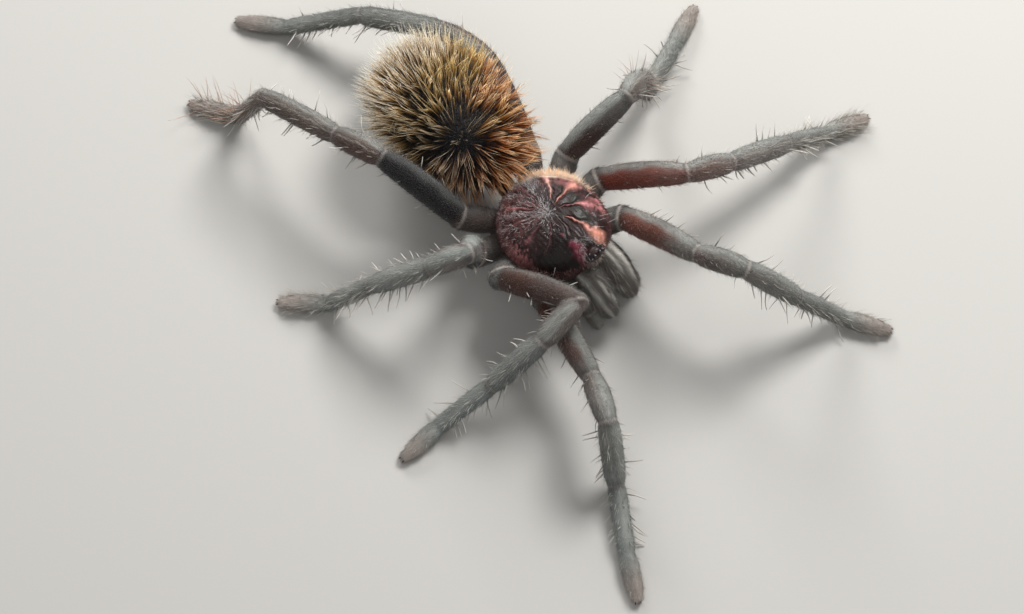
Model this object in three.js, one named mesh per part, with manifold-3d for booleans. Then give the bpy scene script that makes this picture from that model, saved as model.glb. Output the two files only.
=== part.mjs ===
// Pink toe tarantula, standing still, at life size.
// Millimetres, +Z up. The animal faces -Y and its left side is +X. All its feet stand at z = 0.
// Every solid reaches out to the tips of the short coat, and the abdomen to the tips of its long hairs.

import * as THREE from 'three';
import { mergeVertices } from 'three/addons/utils/BufferGeometryUtils.js';
import Module from 'manifold-3d';

const wasm = await Module();
wasm.setup();

// ---- driving dimensions ----

const gap = 0.3; // clear space between neighbouring pieces
const eyeGap = 0.08; // and under each eye
const limbSides = 8; // facets round a leg
const capShoulder = 48; // degrees from a rod's tip to the ring that rounds it
const floorLevel = 0;
const nearly = 0.001; // closer than this, two lengths are the same

const carapace = {
  halfWidth: 8.2,
  frontY: -9.2,
  rearY: 8.4,
  rimHeight: 10.6,
  crownRise: 4.0,
  bellyDepth: 1.0,
  frontNarrowing: 0.22,
  frontSquareness: 2.6, // 2 is an ellipse, more is a squarer front
  headRise: 1.1, // how far the head stands above the even dome
  headHalfWidth: 3.4,
  rimFullness: 0.62, // below 1 the dome stays wide and falls steeply at its rim
  crownCurve: 1.2,
};

const sternum = { halfWidth: 4.6, halfLength: 6.6, bottom: 4.8, top: 10.4, centreY: -0.2 };

const chelicera = {
  root: [2.15, -5.8, 9.8],
  heading: 0,
  pitch: -35,
  length: 9.0,
  radii: [2.1, 2.4, 1.8],
  tall: 1.2,
  arch: 0.9,
};

const fang = {
  root: [1.9, -12.9, 3.6],
  heading: 186,
  pitch: -20,
  length: 3.8,
  radii: [0.62, 0.48, 0.26],
  arch: 0.7,
};

const abdomen = {
  centre: [2.8, 22.7, 10.6],
  halfWidth: 10.8,
  halfLength: 14.0,
  riseAbove: 9.4,
  dropBelow: 8.4,
  turn: 3, // degrees, towards the left
  frontTaper: 0.12,
};

const pedicel = { from: [0.2, 5.4, 8.3], to: [1.2, 12.2, 9.0], radii: [1.4, 1.3, 1.4] };

const spinneret = {
  root: [2.8, 33.0, 6.0],
  spread: 1.5,
  heading: 170,
  pitch: 4,
  length: 6.2,
  radii: [0.95, 0.8, 0.5],
};

const eyeMound = { centre: [0, -8.2, 13.3], halves: [1.6, 1.1, 1.1] };

// Each eye looks out from the mound along its own direction: across, along the body and up.
const eyes = [
  { name: 'eye_front_middle', look: [0.35, -0.62, 0.7], radius: 0.32 },
  { name: 'eye_front_side', look: [0.76, -0.58, 0.29], radius: 0.34 },
  { name: 'eye_rear_side', look: [0.9, 0.06, 0.43], radius: 0.28 },
  { name: 'eye_rear_middle', look: [0.63, 0.12, 0.77], radius: 0.26 },
];

// Where each leg leaves the body: the ring between its trochanter and its femur, left side.
const hips = [
  { across: 8.4, along: -6.2 },
  { across: 10.6, along: 0.2 },
  { across: 10.2, along: 6.0 },
  { across: 7.2, along: 11.0 },
];

// Lengths of femur, patella, tibia, metatarsus and tarsus, first pair to fourth.
const legLengths = [
  { femur: 14.4, patella: 7.8, tibia: 11.6, metatarsus: 10.2, tarsus: 6.2 },
  { femur: 13.6, patella: 7.6, tibia: 10.8, metatarsus: 9.8, tarsus: 6.2 },
  { femur: 13.0, patella: 7.0, tibia: 10.6, metatarsus: 10.2, tarsus: 6.6 },
  { femur: 15.2, patella: 8.2, tibia: 13.2, metatarsus: 13.4, tarsus: 7.0 },
];

// Radii at the root, middle and end of each joint of a leg, and its height against its width.
const legShape = {
  coxa: { radii: [1.7, 2.15, 2.1], tall: 1.0, arch: 0 },
  femur: { radii: [1.85, 2.15, 1.75], tall: 1.12, arch: 0.6 },
  patella: { radii: [1.75, 2.0, 1.75], tall: 1.05, arch: 0.2 },
  tibia: { radii: [1.75, 1.9, 1.7], tall: 1.0, arch: 0.15 },
  metatarsus: { radii: [1.65, 1.6, 1.55], tall: 0.9, arch: 0.1 },
  tarsus: { radii: [1.55, 1.65, 1.4], tall: 0.8, arch: 0 },
};

// How high the middle of a tarsus lies at its two ends, so that its sole is cut flat by the floor.
const sole = { rootHeight: 1.35, tipHeight: 0.8 };

// Where a coxa starts: these shares of its hip's place, at this height.
const coxaRoot = { across: 0.36, along: 0.5, height: 7.6 };

// The stance. Headings are degrees round from straight ahead, out to the animal's own side,
// and pitches are degrees above the level, for femur, patella, tibia (metatarsus, tarsus).
// Each metatarsus comes down to the floor by itself, so it needs no pitch.
const stance = {
  left: [
    { hipHeight: 8.8, headings: [4, 15, 36, 39, 27], pitches: [23, 18, -47] },
    { hipHeight: 8.8, headings: [36, 66, 72, 76, 66], pitches: [22, -20, -23] },
    { hipHeight: 9.4, headings: [75, 106, 107, 106, 106], pitches: [39, -36, -74] },
    { hipHeight: 8.8, headings: [155, 186, 204, 215, 212], pitches: [9, -2, -13] },
  ],
  right: [
    { hipHeight: 7.8, headings: [20, 32, 35, 40, 36], pitches: [8, 16, -58] },
    { hipHeight: 9.6, headings: [-14, 94, 109, 106, 95], pitches: [23, -19, -41] },
    { hipHeight: 7.6, headings: [52, 136, 136, 141, 141], pitches: [69, -40, -35] },
    { hipHeight: 8.8, headings: [164, 171, 172, 167, 156], pitches: [36, -12, -11] },
  ],
};

// The palps lie beside the chelicerae, bend down at the knee and fold back under them.
const palp = {
  hip: { across: 4.7, along: -5.8, height: 5.8 },
  lengths: { femur: 5.9, patella: 3.4, tibia: 4.0, tarsus: 4.0 },
  headings: [-4, -14, -158, -170],
  pitches: [-13, -68, -4],
  tipHeight: 0.5,
  scale: 0.66,
};

// ---- materials ----

function paint(color, roughness, metalness = 0) {
  return new THREE.MeshStandardMaterial({ color, roughness, metalness });
}

const greyHair = paint('#8a8b86', 0.8);
const femurHair = paint('#6f4a3c', 0.75);
const goldHair = paint('#9a7136', 0.8);
const shell = paint('#5a2f33', 0.5);
const darkSkin = paint('#2c2220', 0.7);
const eyeBlack = paint('#0c0a0a', 0.15);
const fangBlack = paint('#1a1210', 0.3);

// ---- solids: a closed three.js geometry becomes a solid, and a solid becomes a mesh ----

function solidOf(geometry) {
  const bare = geometry.clone();
  bare.deleteAttribute('normal');
  bare.deleteAttribute('uv');
  const merged = mergeVertices(bare);
  const corners = merged.index.array;
  const kept = [];
  for (let i = 0; i < corners.length; i += 3) {
    const [a, b, c] = corners.slice(i, i + 3);
    if (a !== b && b !== c && c !== a) kept.push(a, b, c);
  }
  return new wasm.Manifold(new wasm.Mesh({
    numProp: 3,
    vertProperties: new Float32Array(merged.attributes.position.array),
    triVerts: new Uint32Array(kept),
  }));
}

function meshOf(name, solid, material) {
  const data = solid.getMesh();
  const geometry = new THREE.BufferGeometry();
  geometry.setAttribute('position', new THREE.BufferAttribute(data.vertProperties, 3));
  geometry.setIndex(new THREE.BufferAttribute(data.triVerts, 1));
  geometry.computeVertexNormals();
  const mesh = new THREE.Mesh(geometry, material);
  mesh.name = name;
  return mesh;
}

// Moves every corner of a geometry to where rule(x, y, z) puts it.
function reshape(geometry, rule) {
  const place = geometry.attributes.position;
  for (let i = 0; i < place.count; i++) {
    const [x, y, z] = rule(place.getX(i), place.getY(i), place.getZ(i));
    place.setXYZ(i, x, y, z);
  }
  return geometry;
}

// ---- directions ----

function radians(angle) {
  return (angle * Math.PI) / 180;
}

function degrees(angle) {
  return (angle * 180) / Math.PI;
}

// side is +1 on the animal's left and -1 on its right.
function pointing(side, heading, pitch) {
  const h = radians(heading);
  const p = radians(pitch);
  return new THREE.Vector3(side * Math.cos(p) * Math.sin(h), -Math.cos(p) * Math.cos(h), Math.sin(p));
}

function mixThree([first, middle, last], along) {
  const swell = middle - (first + last) / 2;
  return first + (last - first) * along + swell * 4 * along * (1 - along);
}

// The plane that shares a bend between the joint before it and the joint after it.
function bendNormal(before, after) {
  return before.clone().add(after).normalize();
}

// ---- a limb's rod: a run of joints as one tapering solid, bent where they meet ----

// The two points of a profile that close a rod's end, as a half ball.
function endCap(radius, reach, way) {
  const shoulder = radians(capShoulder);
  return [
    new THREE.Vector2(0, reach + way * radius),
    new THREE.Vector2(radius * Math.sin(shoulder), reach + way * radius * Math.cos(shoulder)),
  ];
}

// A joint holds start, side, heading, pitch, length, radii, tall and arch (its rise towards its back).
function limbRod(joints, grow = 0) {
  const last = joints.length - 1;
  const ends = [];
  const firstRadius = joints[0].radii[0] + grow;
  const profile = endCap(firstRadius, 0, -1);
  profile.push(new THREE.Vector2(firstRadius, 0));
  joints.forEach((joint, k) => {
    const begin = k > 0 ? ends[k - 1] : 0;
    const endRadius = k < last ? (joint.radii[2] + joints[k + 1].radii[0]) / 2 : joint.radii[2];
    ends.push(begin + joint.length);
    profile.push(new THREE.Vector2(mixThree(joint.radii, 0.5) + grow, begin + joint.length / 2));
    profile.push(new THREE.Vector2(endRadius + grow, ends[k]));
  });
  profile.push(...endCap(joints[last].radii[2] + grow, ends[last], 1).reverse());

  const frames = joints.map(({ side, heading, pitch }) => {
    const forward = pointing(side, heading, pitch);
    const back = pointing(side, heading, pitch + 90);
    return { forward, back, across: new THREE.Vector3().crossVectors(forward, back) };
  });
  return solidOf(reshape(new THREE.LatheGeometry(profile, limbSides), (x, y, z) => {
    const onJoint = ends.findIndex((end) => y < end + nearly);
    const k = onJoint < 0 ? last : onJoint;
    const { start, length, tall = 1, arch = 0 } = joints[k];
    const { forward, back, across } = frames[k];
    const reach = y - (ends[k] - length);
    const along = Math.min(Math.max(reach / length, 0), 1);
    const point = start.clone().addScaledVector(forward, reach).addScaledVector(across, x);
    point.addScaledVector(back, z * tall + arch * 4 * along * (1 - along));
    if (k < last && Math.abs(y - ends[k]) < nearly) {
      const next = joints[k + 1];
      const normal = bendNormal(forward, frames[k + 1].forward);
      const slide = next.start.clone().sub(point).dot(normal) / forward.dot(normal);
      point.addScaledVector(forward, slide);
    }
    return point.toArray();
  }));
}

// ---- cutting ----

// Keeps the side of a plane that the normal points to, from half a gap away.
function keepSide(solid, point, normal) {
  return solid.trimByPlane(normal.toArray(), normal.dot(point) + gap / 2);
}

// ---- limbs ----

const jointNames = ['femur', 'patella', 'tibia', 'metatarsus', 'tarsus'];

function shapeOf(name, scale) {
  const { radii, tall, arch } = legShape[name];
  return { radii: radii.map((radius) => radius * scale), tall, arch: arch * scale };
}

// The pitch that brings a joint's end to a given height.
function pitchTo(height, start, length) {
  return degrees(Math.asin((height - start.z) / length));
}

// Where every joint of a limb starts and how it points, from the hip to the tip.
function limbPlan({ side, hip, lengths, headings, pitches, scale, rootHeight, tipHeight }) {
  const names = jointNames.filter((name) => lengths[name] !== undefined);
  const plan = [];
  let start = hip.clone();
  names.forEach((name, i) => {
    const length = lengths[name];
    let pitch = pitches[i];
    if (name === 'metatarsus') pitch = pitchTo(rootHeight, start, length);
    if (name === 'tarsus') pitch = pitchTo(tipHeight, start, length);
    const forward = pointing(side, headings[i], pitch);
    plan.push({ name, start, side, heading: headings[i], pitch, length, forward, ...shapeOf(name, scale) });
    start = start.clone().addScaledVector(forward, length);
  });
  return plan;
}

// The limb's named lengths, each a run of joints, parted at the bends between them.
function limbPieces(plan, groups, grow = 0) {
  return groups.map((names) => {
    const joints = plan.filter((joint) => names.includes(joint.name));
    const before = plan.indexOf(joints[0]) - 1;
    const after = plan.indexOf(joints[joints.length - 1]) + 1;
    let solid = limbRod(joints, grow);
    if (grow === 0 && before >= 0) {
      const normal = bendNormal(plan[before].forward, joints[0].forward);
      solid = keepSide(solid, joints[0].start, normal);
    }
    if (grow === 0 && after < plan.length) {
      const normal = bendNormal(plan[after - 1].forward, plan[after].forward).negate();
      solid = keepSide(solid, plan[after].start, normal);
    }
    return solid.trimByPlane([0, 0, 1], floorLevel);
  });
}

// A straight joint from one point to another.
function jointBetween(side, start, end, shape) {
  const run = end.clone().sub(start);
  const length = run.length();
  const pitch = degrees(Math.asin(run.z / length));
  const heading = degrees(Math.atan2(side * run.x, -run.y));
  return { start, side, heading, pitch, length, forward: run.normalize(), ...shape };
}

const legGroups = [['femur'], ['patella', 'tibia'], ['metatarsus', 'tarsus']];
const legPieceNames = ['coxa', 'femur', 'tibia', 'foot'];
const palpGroups = [['femur'], ['patella', 'tibia', 'tarsus']];
const palpPieceNames = ['coxa', 'femur', 'tip'];

// The coxa and trochanter run from beside the breastplate out to the hip.
function coxaOf(side, hip, scale) {
  const root = new THREE.Vector3(hip.x * coxaRoot.across, hip.y * coxaRoot.along, coxaRoot.height);
  return jointBetween(side, root, hip, shapeOf('coxa', scale));
}

// Everything that leaves one side of the body, from the palp to the fourth leg.
function limbsOfSide(side, word) {
  const palpHip = new THREE.Vector3(side * palp.hip.across, palp.hip.along, palp.hip.height);
  const palpLimb = {
    title: `palp_${word}`,
    pieceNames: palpPieceNames,
    groups: palpGroups,
    hip: palpHip,
    coxa: coxaOf(side, palpHip, palp.scale),
    plan: limbPlan({ ...palp, side, hip: palpHip }),
  };
  const legs = stance[word].map(({ hipHeight, headings, pitches }, i) => {
    const hip = new THREE.Vector3(side * hips[i].across, hips[i].along, hipHeight);
    return {
      title: `leg_${word}_${i + 1}`,
      pieceNames: legPieceNames,
      groups: legGroups,
      hip,
      coxa: coxaOf(side, hip, 1),
      plan: limbPlan({ side, hip, lengths: legLengths[i], headings, pitches, scale: 1, ...sole }),
    };
  });
  return [palpLimb, ...legs];
}

// Neighbouring coxae are parted by an upright plane midway between them.
function partFromNeighbour(solid, own, other) {
  const middle = own.hip.clone().add(other.hip).multiplyScalar(0.5);
  const rootMiddle = own.coxa.start.clone().add(other.coxa.start).multiplyScalar(0.5);
  const fence = middle.clone().sub(rootMiddle).setZ(0).normalize();
  const normal = new THREE.Vector3(-fence.y, fence.x, 0);
  if (normal.dot(own.hip.clone().sub(middle)) < 0) normal.negate();
  return keepSide(solid, middle, normal);
}

// ---- body ----

// How far the plate's front reaches past an ellipse in a direction round it.
function squareFront(around) {
  const power = carapace.frontSquareness;
  if (around >= 0) return 1;
  return (Math.abs(Math.cos(around)) ** power + Math.abs(Math.sin(around)) ** power) ** (-1 / power);
}

function carapaceSolid(grow = 0) {
  const middleY = (carapace.frontY + carapace.rearY) / 2;
  const halfLength = (carapace.rearY - carapace.frontY) / 2;
  const shape = new THREE.SphereGeometry(1, 26, 10).rotateX(Math.PI / 2);
  return solidOf(reshape(shape, (x, y, z) => {
    const front = Math.max(-y, 0);
    const narrow = 1 - carapace.frontNarrowing * front ** 2;
    const flatness = Math.sqrt(Math.max(1 - z * z, 0));
    const dome = flatness > 0 ? flatness ** carapace.rimFullness / flatness : 1;
    const spread = dome * squareFront(Math.atan2(y, x));
    const across = x * spread * narrow * (carapace.halfWidth + grow);
    const head = Math.exp(-((across / carapace.headHalfWidth) ** 2)) * Math.min(front * 2, 1);
    const crown = carapace.crownRise * Math.abs(z) ** carapace.crownCurve + carapace.headRise * head * z;
    const rise = z > 0 ? crown : carapace.bellyDepth * z;
    return [
      across,
      middleY + y * spread * (halfLength + grow),
      carapace.rimHeight + rise + Math.sign(z) * grow,
    ];
  }));
}

function ball(centre, halves, across = 16, down = 10) {
  const geometry = new THREE.SphereGeometry(1, across, down).rotateX(Math.PI / 2);
  return solidOf(reshape(geometry, (x, y, z) => [
    centre[0] + x * halves[0], centre[1] + y * halves[1], centre[2] + z * halves[2],
  ]));
}

function sternumSolid(grow = 0) {
  const middle = (sternum.top + sternum.bottom) / 2;
  const half = (sternum.top - sternum.bottom) / 2;
  return ball(
    [0, sternum.centreY, middle],
    [sternum.halfWidth + grow, sternum.halfLength + grow, half + grow],
    16, 8,
  );
}

// One rod on each side of the body, from a root given for the left side.
function pairedRod(piece, side, grow = 0) {
  const [across, along, height] = piece.root;
  const start = new THREE.Vector3(side * across, along, height);
  return limbRod([{ ...piece, start, side }], grow);
}

function abdomenSolid() {
  const turn = radians(abdomen.turn);
  const [cx, cy, cz] = abdomen.centre;
  const egg = new THREE.SphereGeometry(1, 22, 12).rotateX(Math.PI / 2);
  return solidOf(reshape(egg, (x, y, z) => {
    const wide = abdomen.halfWidth * (1 + abdomen.frontTaper * y);
    const high = z > 0 ? abdomen.riseAbove : abdomen.dropBelow;
    const across = x * wide;
    const along = y * abdomen.halfLength;
    return [
      cx + across * Math.cos(turn) + along * Math.sin(turn),
      cy + along * Math.cos(turn) - across * Math.sin(turn),
      cz + z * high,
    ];
  }));
}

function pedicelSolid(grow = 0) {
  const from = new THREE.Vector3(...pedicel.from);
  const to = new THREE.Vector3(...pedicel.to);
  return limbRod([jointBetween(1, from, to, { radii: pedicel.radii })], grow);
}

function spinneretSolid(side, grow = 0) {
  const root = new THREE.Vector3(...spinneret.root);
  const start = root.add(new THREE.Vector3(side * spinneret.spread, 0, 0));
  return limbRod([{ ...spinneret, start, side }], grow);
}

function moundSolid(grow = 0) {
  return ball(eyeMound.centre, eyeMound.halves.map((half) => half + grow), 14, 8);
}

function eyeSolid({ look, radius }, side) {
  const centre = eyeMound.centre.map((middle, k) => {
    const out = k === 0 ? side * look[k] : look[k];
    return middle + out * eyeMound.halves[k];
  });
  return ball(centre, [radius, radius, radius], 8, 6);
}

// ---- the whole animal ----

const group = new THREE.Group();
const carapaceRoom = carapaceSolid(gap);
const sternumRoom = sternumSolid(gap);
const pedicelRoom = pedicelSolid(gap);

group.add(meshOf('carapace', carapaceSolid(), shell));
group.add(meshOf('sternum', sternumSolid().subtract(carapaceRoom), darkSkin));

let abdomenShape = abdomenSolid().subtract(carapaceRoom).subtract(pedicelRoom);

for (const [word, side] of [['left', 1], ['right', -1]]) {
  const inward = new THREE.Vector3(side, 0, 0);
  const limbs = limbsOfSide(side, word);

  let jaw = keepSide(pairedRod(chelicera, side), new THREE.Vector3(), inward);
  jaw = jaw.subtract(carapaceRoom).subtract(sternumRoom).subtract(pairedRod(fang, side, gap));
  group.add(meshOf(`chelicera_${word}`, jaw, greyHair));
  group.add(meshOf(`fang_${word}`, pairedRod(fang, side), fangBlack));
  const jawRoom = pairedRod(chelicera, side, gap);

  limbs.forEach((limb, i) => {
    const hipNormal = bendNormal(limb.coxa.forward, limb.plan[0].forward);
    let coxa = keepSide(limbRod([limb.coxa]), limb.hip, hipNormal.clone().negate());
    if (i > 0) coxa = partFromNeighbour(coxa, limb, limbs[i - 1]);
    if (i < limbs.length - 1) coxa = partFromNeighbour(coxa, limb, limbs[i + 1]);
    coxa = keepSide(coxa, new THREE.Vector3(), inward);
    for (const room of [carapaceRoom, sternumRoom, jawRoom, pedicelRoom]) coxa = coxa.subtract(room);
    const pieces = limbPieces(limb.plan, limb.groups).map((piece) => piece.subtract(jawRoom));
    pieces[0] = keepSide(pieces[0], limb.hip, hipNormal).subtract(carapaceRoom);
    [coxa, ...pieces].forEach((solid, k) => {
      const material = k === 1 ? femurHair : greyHair;
      group.add(meshOf(`${limb.title}_${limb.pieceNames[k]}`, solid, material));
    });
    for (const room of [limbRod([limb.coxa], gap), ...limbPieces(limb.plan, limb.groups, gap)]) {
      abdomenShape = abdomenShape.subtract(room);
    }
  });

  abdomenShape = abdomenShape.subtract(spinneretSolid(side, gap));
  group.add(meshOf(`spinneret_${word}`, spinneretSolid(side), darkSkin));

  for (const eye of eyes) {
    const lens = eyeSolid(eye, side).subtract(moundSolid(eyeGap)).subtract(carapaceSolid(eyeGap));
    group.add(meshOf(`${eye.name}_${word}`, lens, eyeBlack));
  }
}

group.add(meshOf('eye_mound', moundSolid().subtract(carapaceRoom), shell));

group.add(meshOf('abdomen', abdomenShape, goldHair));
group.add(meshOf('pedicel', pedicelSolid().subtract(carapaceRoom).subtract(sternumRoom), darkSkin));

// The origin is under the middle of the whole animal's box, at the level of its feet.
const box = new THREE.Box3().setFromObject(group);
const middle = box.getCenter(new THREE.Vector3());
group.position.set(-middle.x, -middle.y, 0);

export default group;
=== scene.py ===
import math
import bpy
import numpy as np
from mathutils import Matrix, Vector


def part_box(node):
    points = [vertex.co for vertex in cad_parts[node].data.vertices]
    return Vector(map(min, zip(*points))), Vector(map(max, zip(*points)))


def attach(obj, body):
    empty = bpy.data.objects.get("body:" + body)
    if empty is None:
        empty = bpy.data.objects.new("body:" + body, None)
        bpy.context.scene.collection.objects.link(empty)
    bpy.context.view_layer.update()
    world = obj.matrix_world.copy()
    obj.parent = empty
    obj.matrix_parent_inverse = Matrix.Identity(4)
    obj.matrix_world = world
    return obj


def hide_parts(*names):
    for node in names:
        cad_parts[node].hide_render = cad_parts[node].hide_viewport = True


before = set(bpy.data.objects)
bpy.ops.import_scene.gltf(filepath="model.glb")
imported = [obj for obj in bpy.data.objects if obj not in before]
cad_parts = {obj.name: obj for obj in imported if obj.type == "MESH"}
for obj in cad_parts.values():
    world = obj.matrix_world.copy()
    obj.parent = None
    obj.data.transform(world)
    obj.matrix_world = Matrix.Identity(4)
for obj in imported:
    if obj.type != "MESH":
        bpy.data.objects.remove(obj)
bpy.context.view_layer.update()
print("frame loaded")

# Every piece is worked out in millimetres in the animal's own frame: it faces -Y, its left is +X, and the
# floor is z = 0.
mm = 0.001
sternumLow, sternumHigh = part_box("sternum")
sternumMiddle = 0.2  # the breastplate's box lies this far in front of y = 0
bodyOrigin = np.array([
    (sternumLow.x + sternumHigh.x) / 2,
    (sternumLow.y + sternumHigh.y) / 2 + sternumMiddle * mm,
    0.0,
])
lowest = 0.02  # nothing reaches lower than this over the floor
sides = ((1, "left"), (-1, "right"))


def toFrame(points):
    return points * mm + bodyOrigin


def unit(vectors):
    return vectors / np.maximum(np.linalg.norm(vectors, axis=-1, keepdims=True), 1e-9)


def dot(a, b):
    return (a * b).sum(-1)


def ramp(x, low, high):
    # A smooth step from 0 at low to 1 at high.
    t = np.clip((x - low) / (high - low), 0, 1)
    return t * t * (3 - 2 * t)


def bell(x, width, power=2):
    return np.exp(-(x / width) ** power)


def bulge(rise, t):
    # A parabola that rises from 0 to its top halfway along and comes back to 0.
    return rise * 4 * t * (1 - t)


def circle(count):
    return np.linspace(0, 2 * math.pi, count, endpoint=False)


def tone(hexText):
    # a screen colour, such as "8f918b", as linear light
    value = np.array([int(hexText[i:i + 2], 16) for i in (0, 2, 4)]) / 255
    return np.where(value <= 0.04045, value / 12.92, ((value + 0.055) / 1.055) ** 2.4)


def titled(text):
    return text.title().replace("_", "")


def toneTable(**texts):
    return {name: tone(text) for name, text in texts.items()}


def blendTone(a, b, share):
    return a + (b - a) * np.asarray(share)[..., None]


def painted(colour, tones, **shares):
    # Named tones laid over a colour, one after the other.
    for name, share in shares.items():
        colour = blendTone(colour, tones[name], share)
    return colour


def waves(points, scale, seed):
    # Smooth random field from -1 to 1: a few sine waves in random directions, added.
    draw = np.random.default_rng(seed)
    total = np.zeros(len(points))
    for share in (1, 0.7, 0.5, 0.35):
        direction = unit(draw.normal(size=3)) * 2 * math.pi / (scale * (0.5 + share))
        total += share * np.sin(points @ direction + draw.uniform(0, 6.28))
    return total / 2


def blotches(points, scale, seed):
    # Roundish random spots from about -1 to 1: two fields of waves multiplied.
    return 2.2 * waves(points, scale, seed) * waves(points, scale * 1.3, seed + 1000)


view = {
    "azimuth": -48, "elevation": 68, "lens": 100, "sensor": 36, "pixelsPerMm": 7.0,
    "aim": (0, 0, 12.5), "aimPixel": (551, 220), "frameSize": (1024, 614),
}


def lookAxes(azimuth, elevation):
    a = math.radians(azimuth)
    e = math.radians(elevation)
    right = np.array([math.cos(a), math.sin(a), 0])
    back = np.array([math.sin(a) * math.cos(e), -math.cos(a) * math.cos(e), math.sin(e)])
    return right, np.cross(back, right), back


def putObject(name, data):
    obj = bpy.data.objects.new(name, data)
    bpy.context.scene.collection.objects.link(obj)
    return obj


def faceFrom(obj, place, azimuth, elevation):
    matrix = np.eye(4)
    matrix[:3, :3] = np.stack(lookAxes(azimuth, elevation), 1)
    matrix[:3, 3] = toFrame(place)
    obj.matrix_world = Matrix(matrix.tolist())


def makeCamera():
    # The aim lands on its own pixel, and a millimetre there is so many pixels wide.
    width, height = view["frameSize"]
    perMm = view["pixelsPerMm"]
    right, up, back = lookAxes(view["azimuth"], view["elevation"])
    distance = view["lens"] / view["sensor"] * width / perMm
    overRight = (view["aimPixel"][0] - width / 2) / perMm
    overUp = (height / 2 - view["aimPixel"][1]) / perMm
    place = np.array(view["aim"]) + back * distance - right * overRight - up * overUp
    data = bpy.data.cameras.new("camera")
    data.lens, data.sensor_width = view["lens"], view["sensor"]
    data.clip_start, data.clip_end = 0.01, 10
    obj = putObject("camera", data)
    faceFrom(obj, place, view["azimuth"], view["elevation"])
    bpy.context.scene.camera = obj


lights = (
    {"name": "keyLight", "azimuth": 98, "elevation": 50, "distance": 420, "size": 0.18, "power": 1.7},
    {"name": "rimLight", "azimuth": 152, "elevation": 28, "distance": 460, "size": 0.16, "power": 1.05},
    {"name": "fillLight", "azimuth": -60, "elevation": 52, "distance": 480, "size": 0.5, "power": 0.42},
)


def makeLight(name, azimuth, elevation, distance, size, power):
    data = bpy.data.lights.new(name, "AREA")
    data.shape, data.size, data.energy = "DISK", size, power
    faceFrom(putObject(name, data), lookAxes(azimuth, elevation)[2] * distance, azimuth, elevation)


studio = {"air": "e6e9ee", "airStrength": 0.26, "floor": "c9c6c0", "floorRoughness": 0.9, "floorSize": 4.0}


def makeStudio():
    world = bpy.data.worlds.new("studio")
    world.use_nodes = True
    sky = world.node_tree.nodes["Background"]
    fillInputs(world, sky, {"Color": (*tone(studio["air"]), 1), "Strength": studio["airStrength"]})
    bpy.context.scene.world = world
    bpy.context.scene.view_settings.view_transform = "Standard"
    half = studio["floorSize"] / 2
    mesh = bpy.data.meshes.new("floor")
    corners = [(-half, -half, 0), (half, -half, 0), (half, half, 0), (-half, half, 0)]
    mesh.from_pydata(corners, [], [(0, 1, 2, 3)])
    material, shader = newMaterial("paleFloor")
    paint = {"Base Color": (*tone(studio["floor"]), 1), "Roughness": studio["floorRoughness"]}
    fillInputs(material, shader, paint)
    mesh.materials.append(material)
    putObject("floor", mesh)


def newMaterial(name):
    material = bpy.data.materials.new(name)
    material.use_nodes = True
    return material, material.node_tree.nodes["Principled BSDF"]


def fillInputs(owner, target, inputs):
    # Each input takes a number or colour, or a link from another node's output.
    for key, value in inputs.items():
        if isinstance(value, bpy.types.NodeSocket):
            owner.node_tree.links.new(value, target.inputs[key])
        else:
            target.inputs[key].default_value = value


def node(material, kind, output, inputs=None, **settings):
    made = material.node_tree.nodes.new(kind)
    for key, value in settings.items():
        setattr(made, key, value)
    fillInputs(material, made, inputs or {})
    return made.outputs[output]


def noiseOver(material, scale, detail):
    # noise in the piece's own coordinates
    inputs = {"Vector": node(material, "ShaderNodeTexCoord", "Object"), "Scale": scale, "Detail": detail}
    return node(material, "ShaderNodeTexNoise", "Fac", inputs)


def markedMaterial(name, roughness, speckle, speckleScale, bump=0, bumpScale=1, sheen=0, coat=0, gloss=0.35):
    # The colour is the piece's own tint times a fine speckle, and the bump is finer noise.
    material, shader = newMaterial(name)
    tint = node(material, "ShaderNodeAttribute", "Color", attribute_name="tint")
    speckles = {"Value": noiseOver(material, speckleScale, 3), "To Min": 1 - speckle, "To Max": 1 + speckle}
    scaled = {0: tint, "Scale": node(material, "ShaderNodeMapRange", "Result", speckles)}
    colour = node(material, "ShaderNodeVectorMath", "Vector", scaled, operation="SCALE")
    inputs = {
        "Base Color": colour, "Roughness": roughness, "Specular IOR Level": gloss, "Sheen Weight": sheen,
        "Sheen Roughness": 0.45, "Coat Weight": coat, "Coat Roughness": 0.12,
    }
    if bump:
        grain = {"Height": noiseOver(material, bumpScale, 2), "Strength": bump, "Distance": 0.00012}
        inputs["Normal"] = node(material, "ShaderNodeBump", "Normal", grain)
    fillInputs(material, shader, inputs)
    return material


def closedShell(grid):
    # A grid whose rows run round a piece. Its first and last rows are one point each, closed by fans.
    rows, columns = grid.shape[:2]
    corners = np.vstack([grid[0, :1], grid[1:-1].reshape(-1, 3), grid[-1, :1]])
    k = np.arange(columns)
    following = (k + 1) % columns
    ring = 1 + np.arange(rows - 2)[:, None] * columns
    quads = np.stack([ring[:-1] + k, ring[:-1] + following, ring[1:] + following, ring[1:] + k], -1)
    first = np.stack([0 * k, 1 + following, 1 + k], -1)
    last = np.stack([0 * k + len(corners) - 1, ring[-1] + k, ring[-1] + following], -1)
    return outward(corners, [quads.reshape(-1, 4), np.vstack([first, last])])


def outward(corners, faces):
    # The signed volume of the fans of all faces is negative where a shell is inside out.
    middle = corners.mean(0)
    volume = 0
    for group in faces:
        for second in range(1, group.shape[1] - 1):
            a, b, c = (corners[group[:, i]] - middle for i in (0, second, second + 1))
            volume += dot(a, np.cross(b, c)).sum()
    return corners, [group[:, ::-1] for group in faces] if volume < 0 else faces


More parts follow.
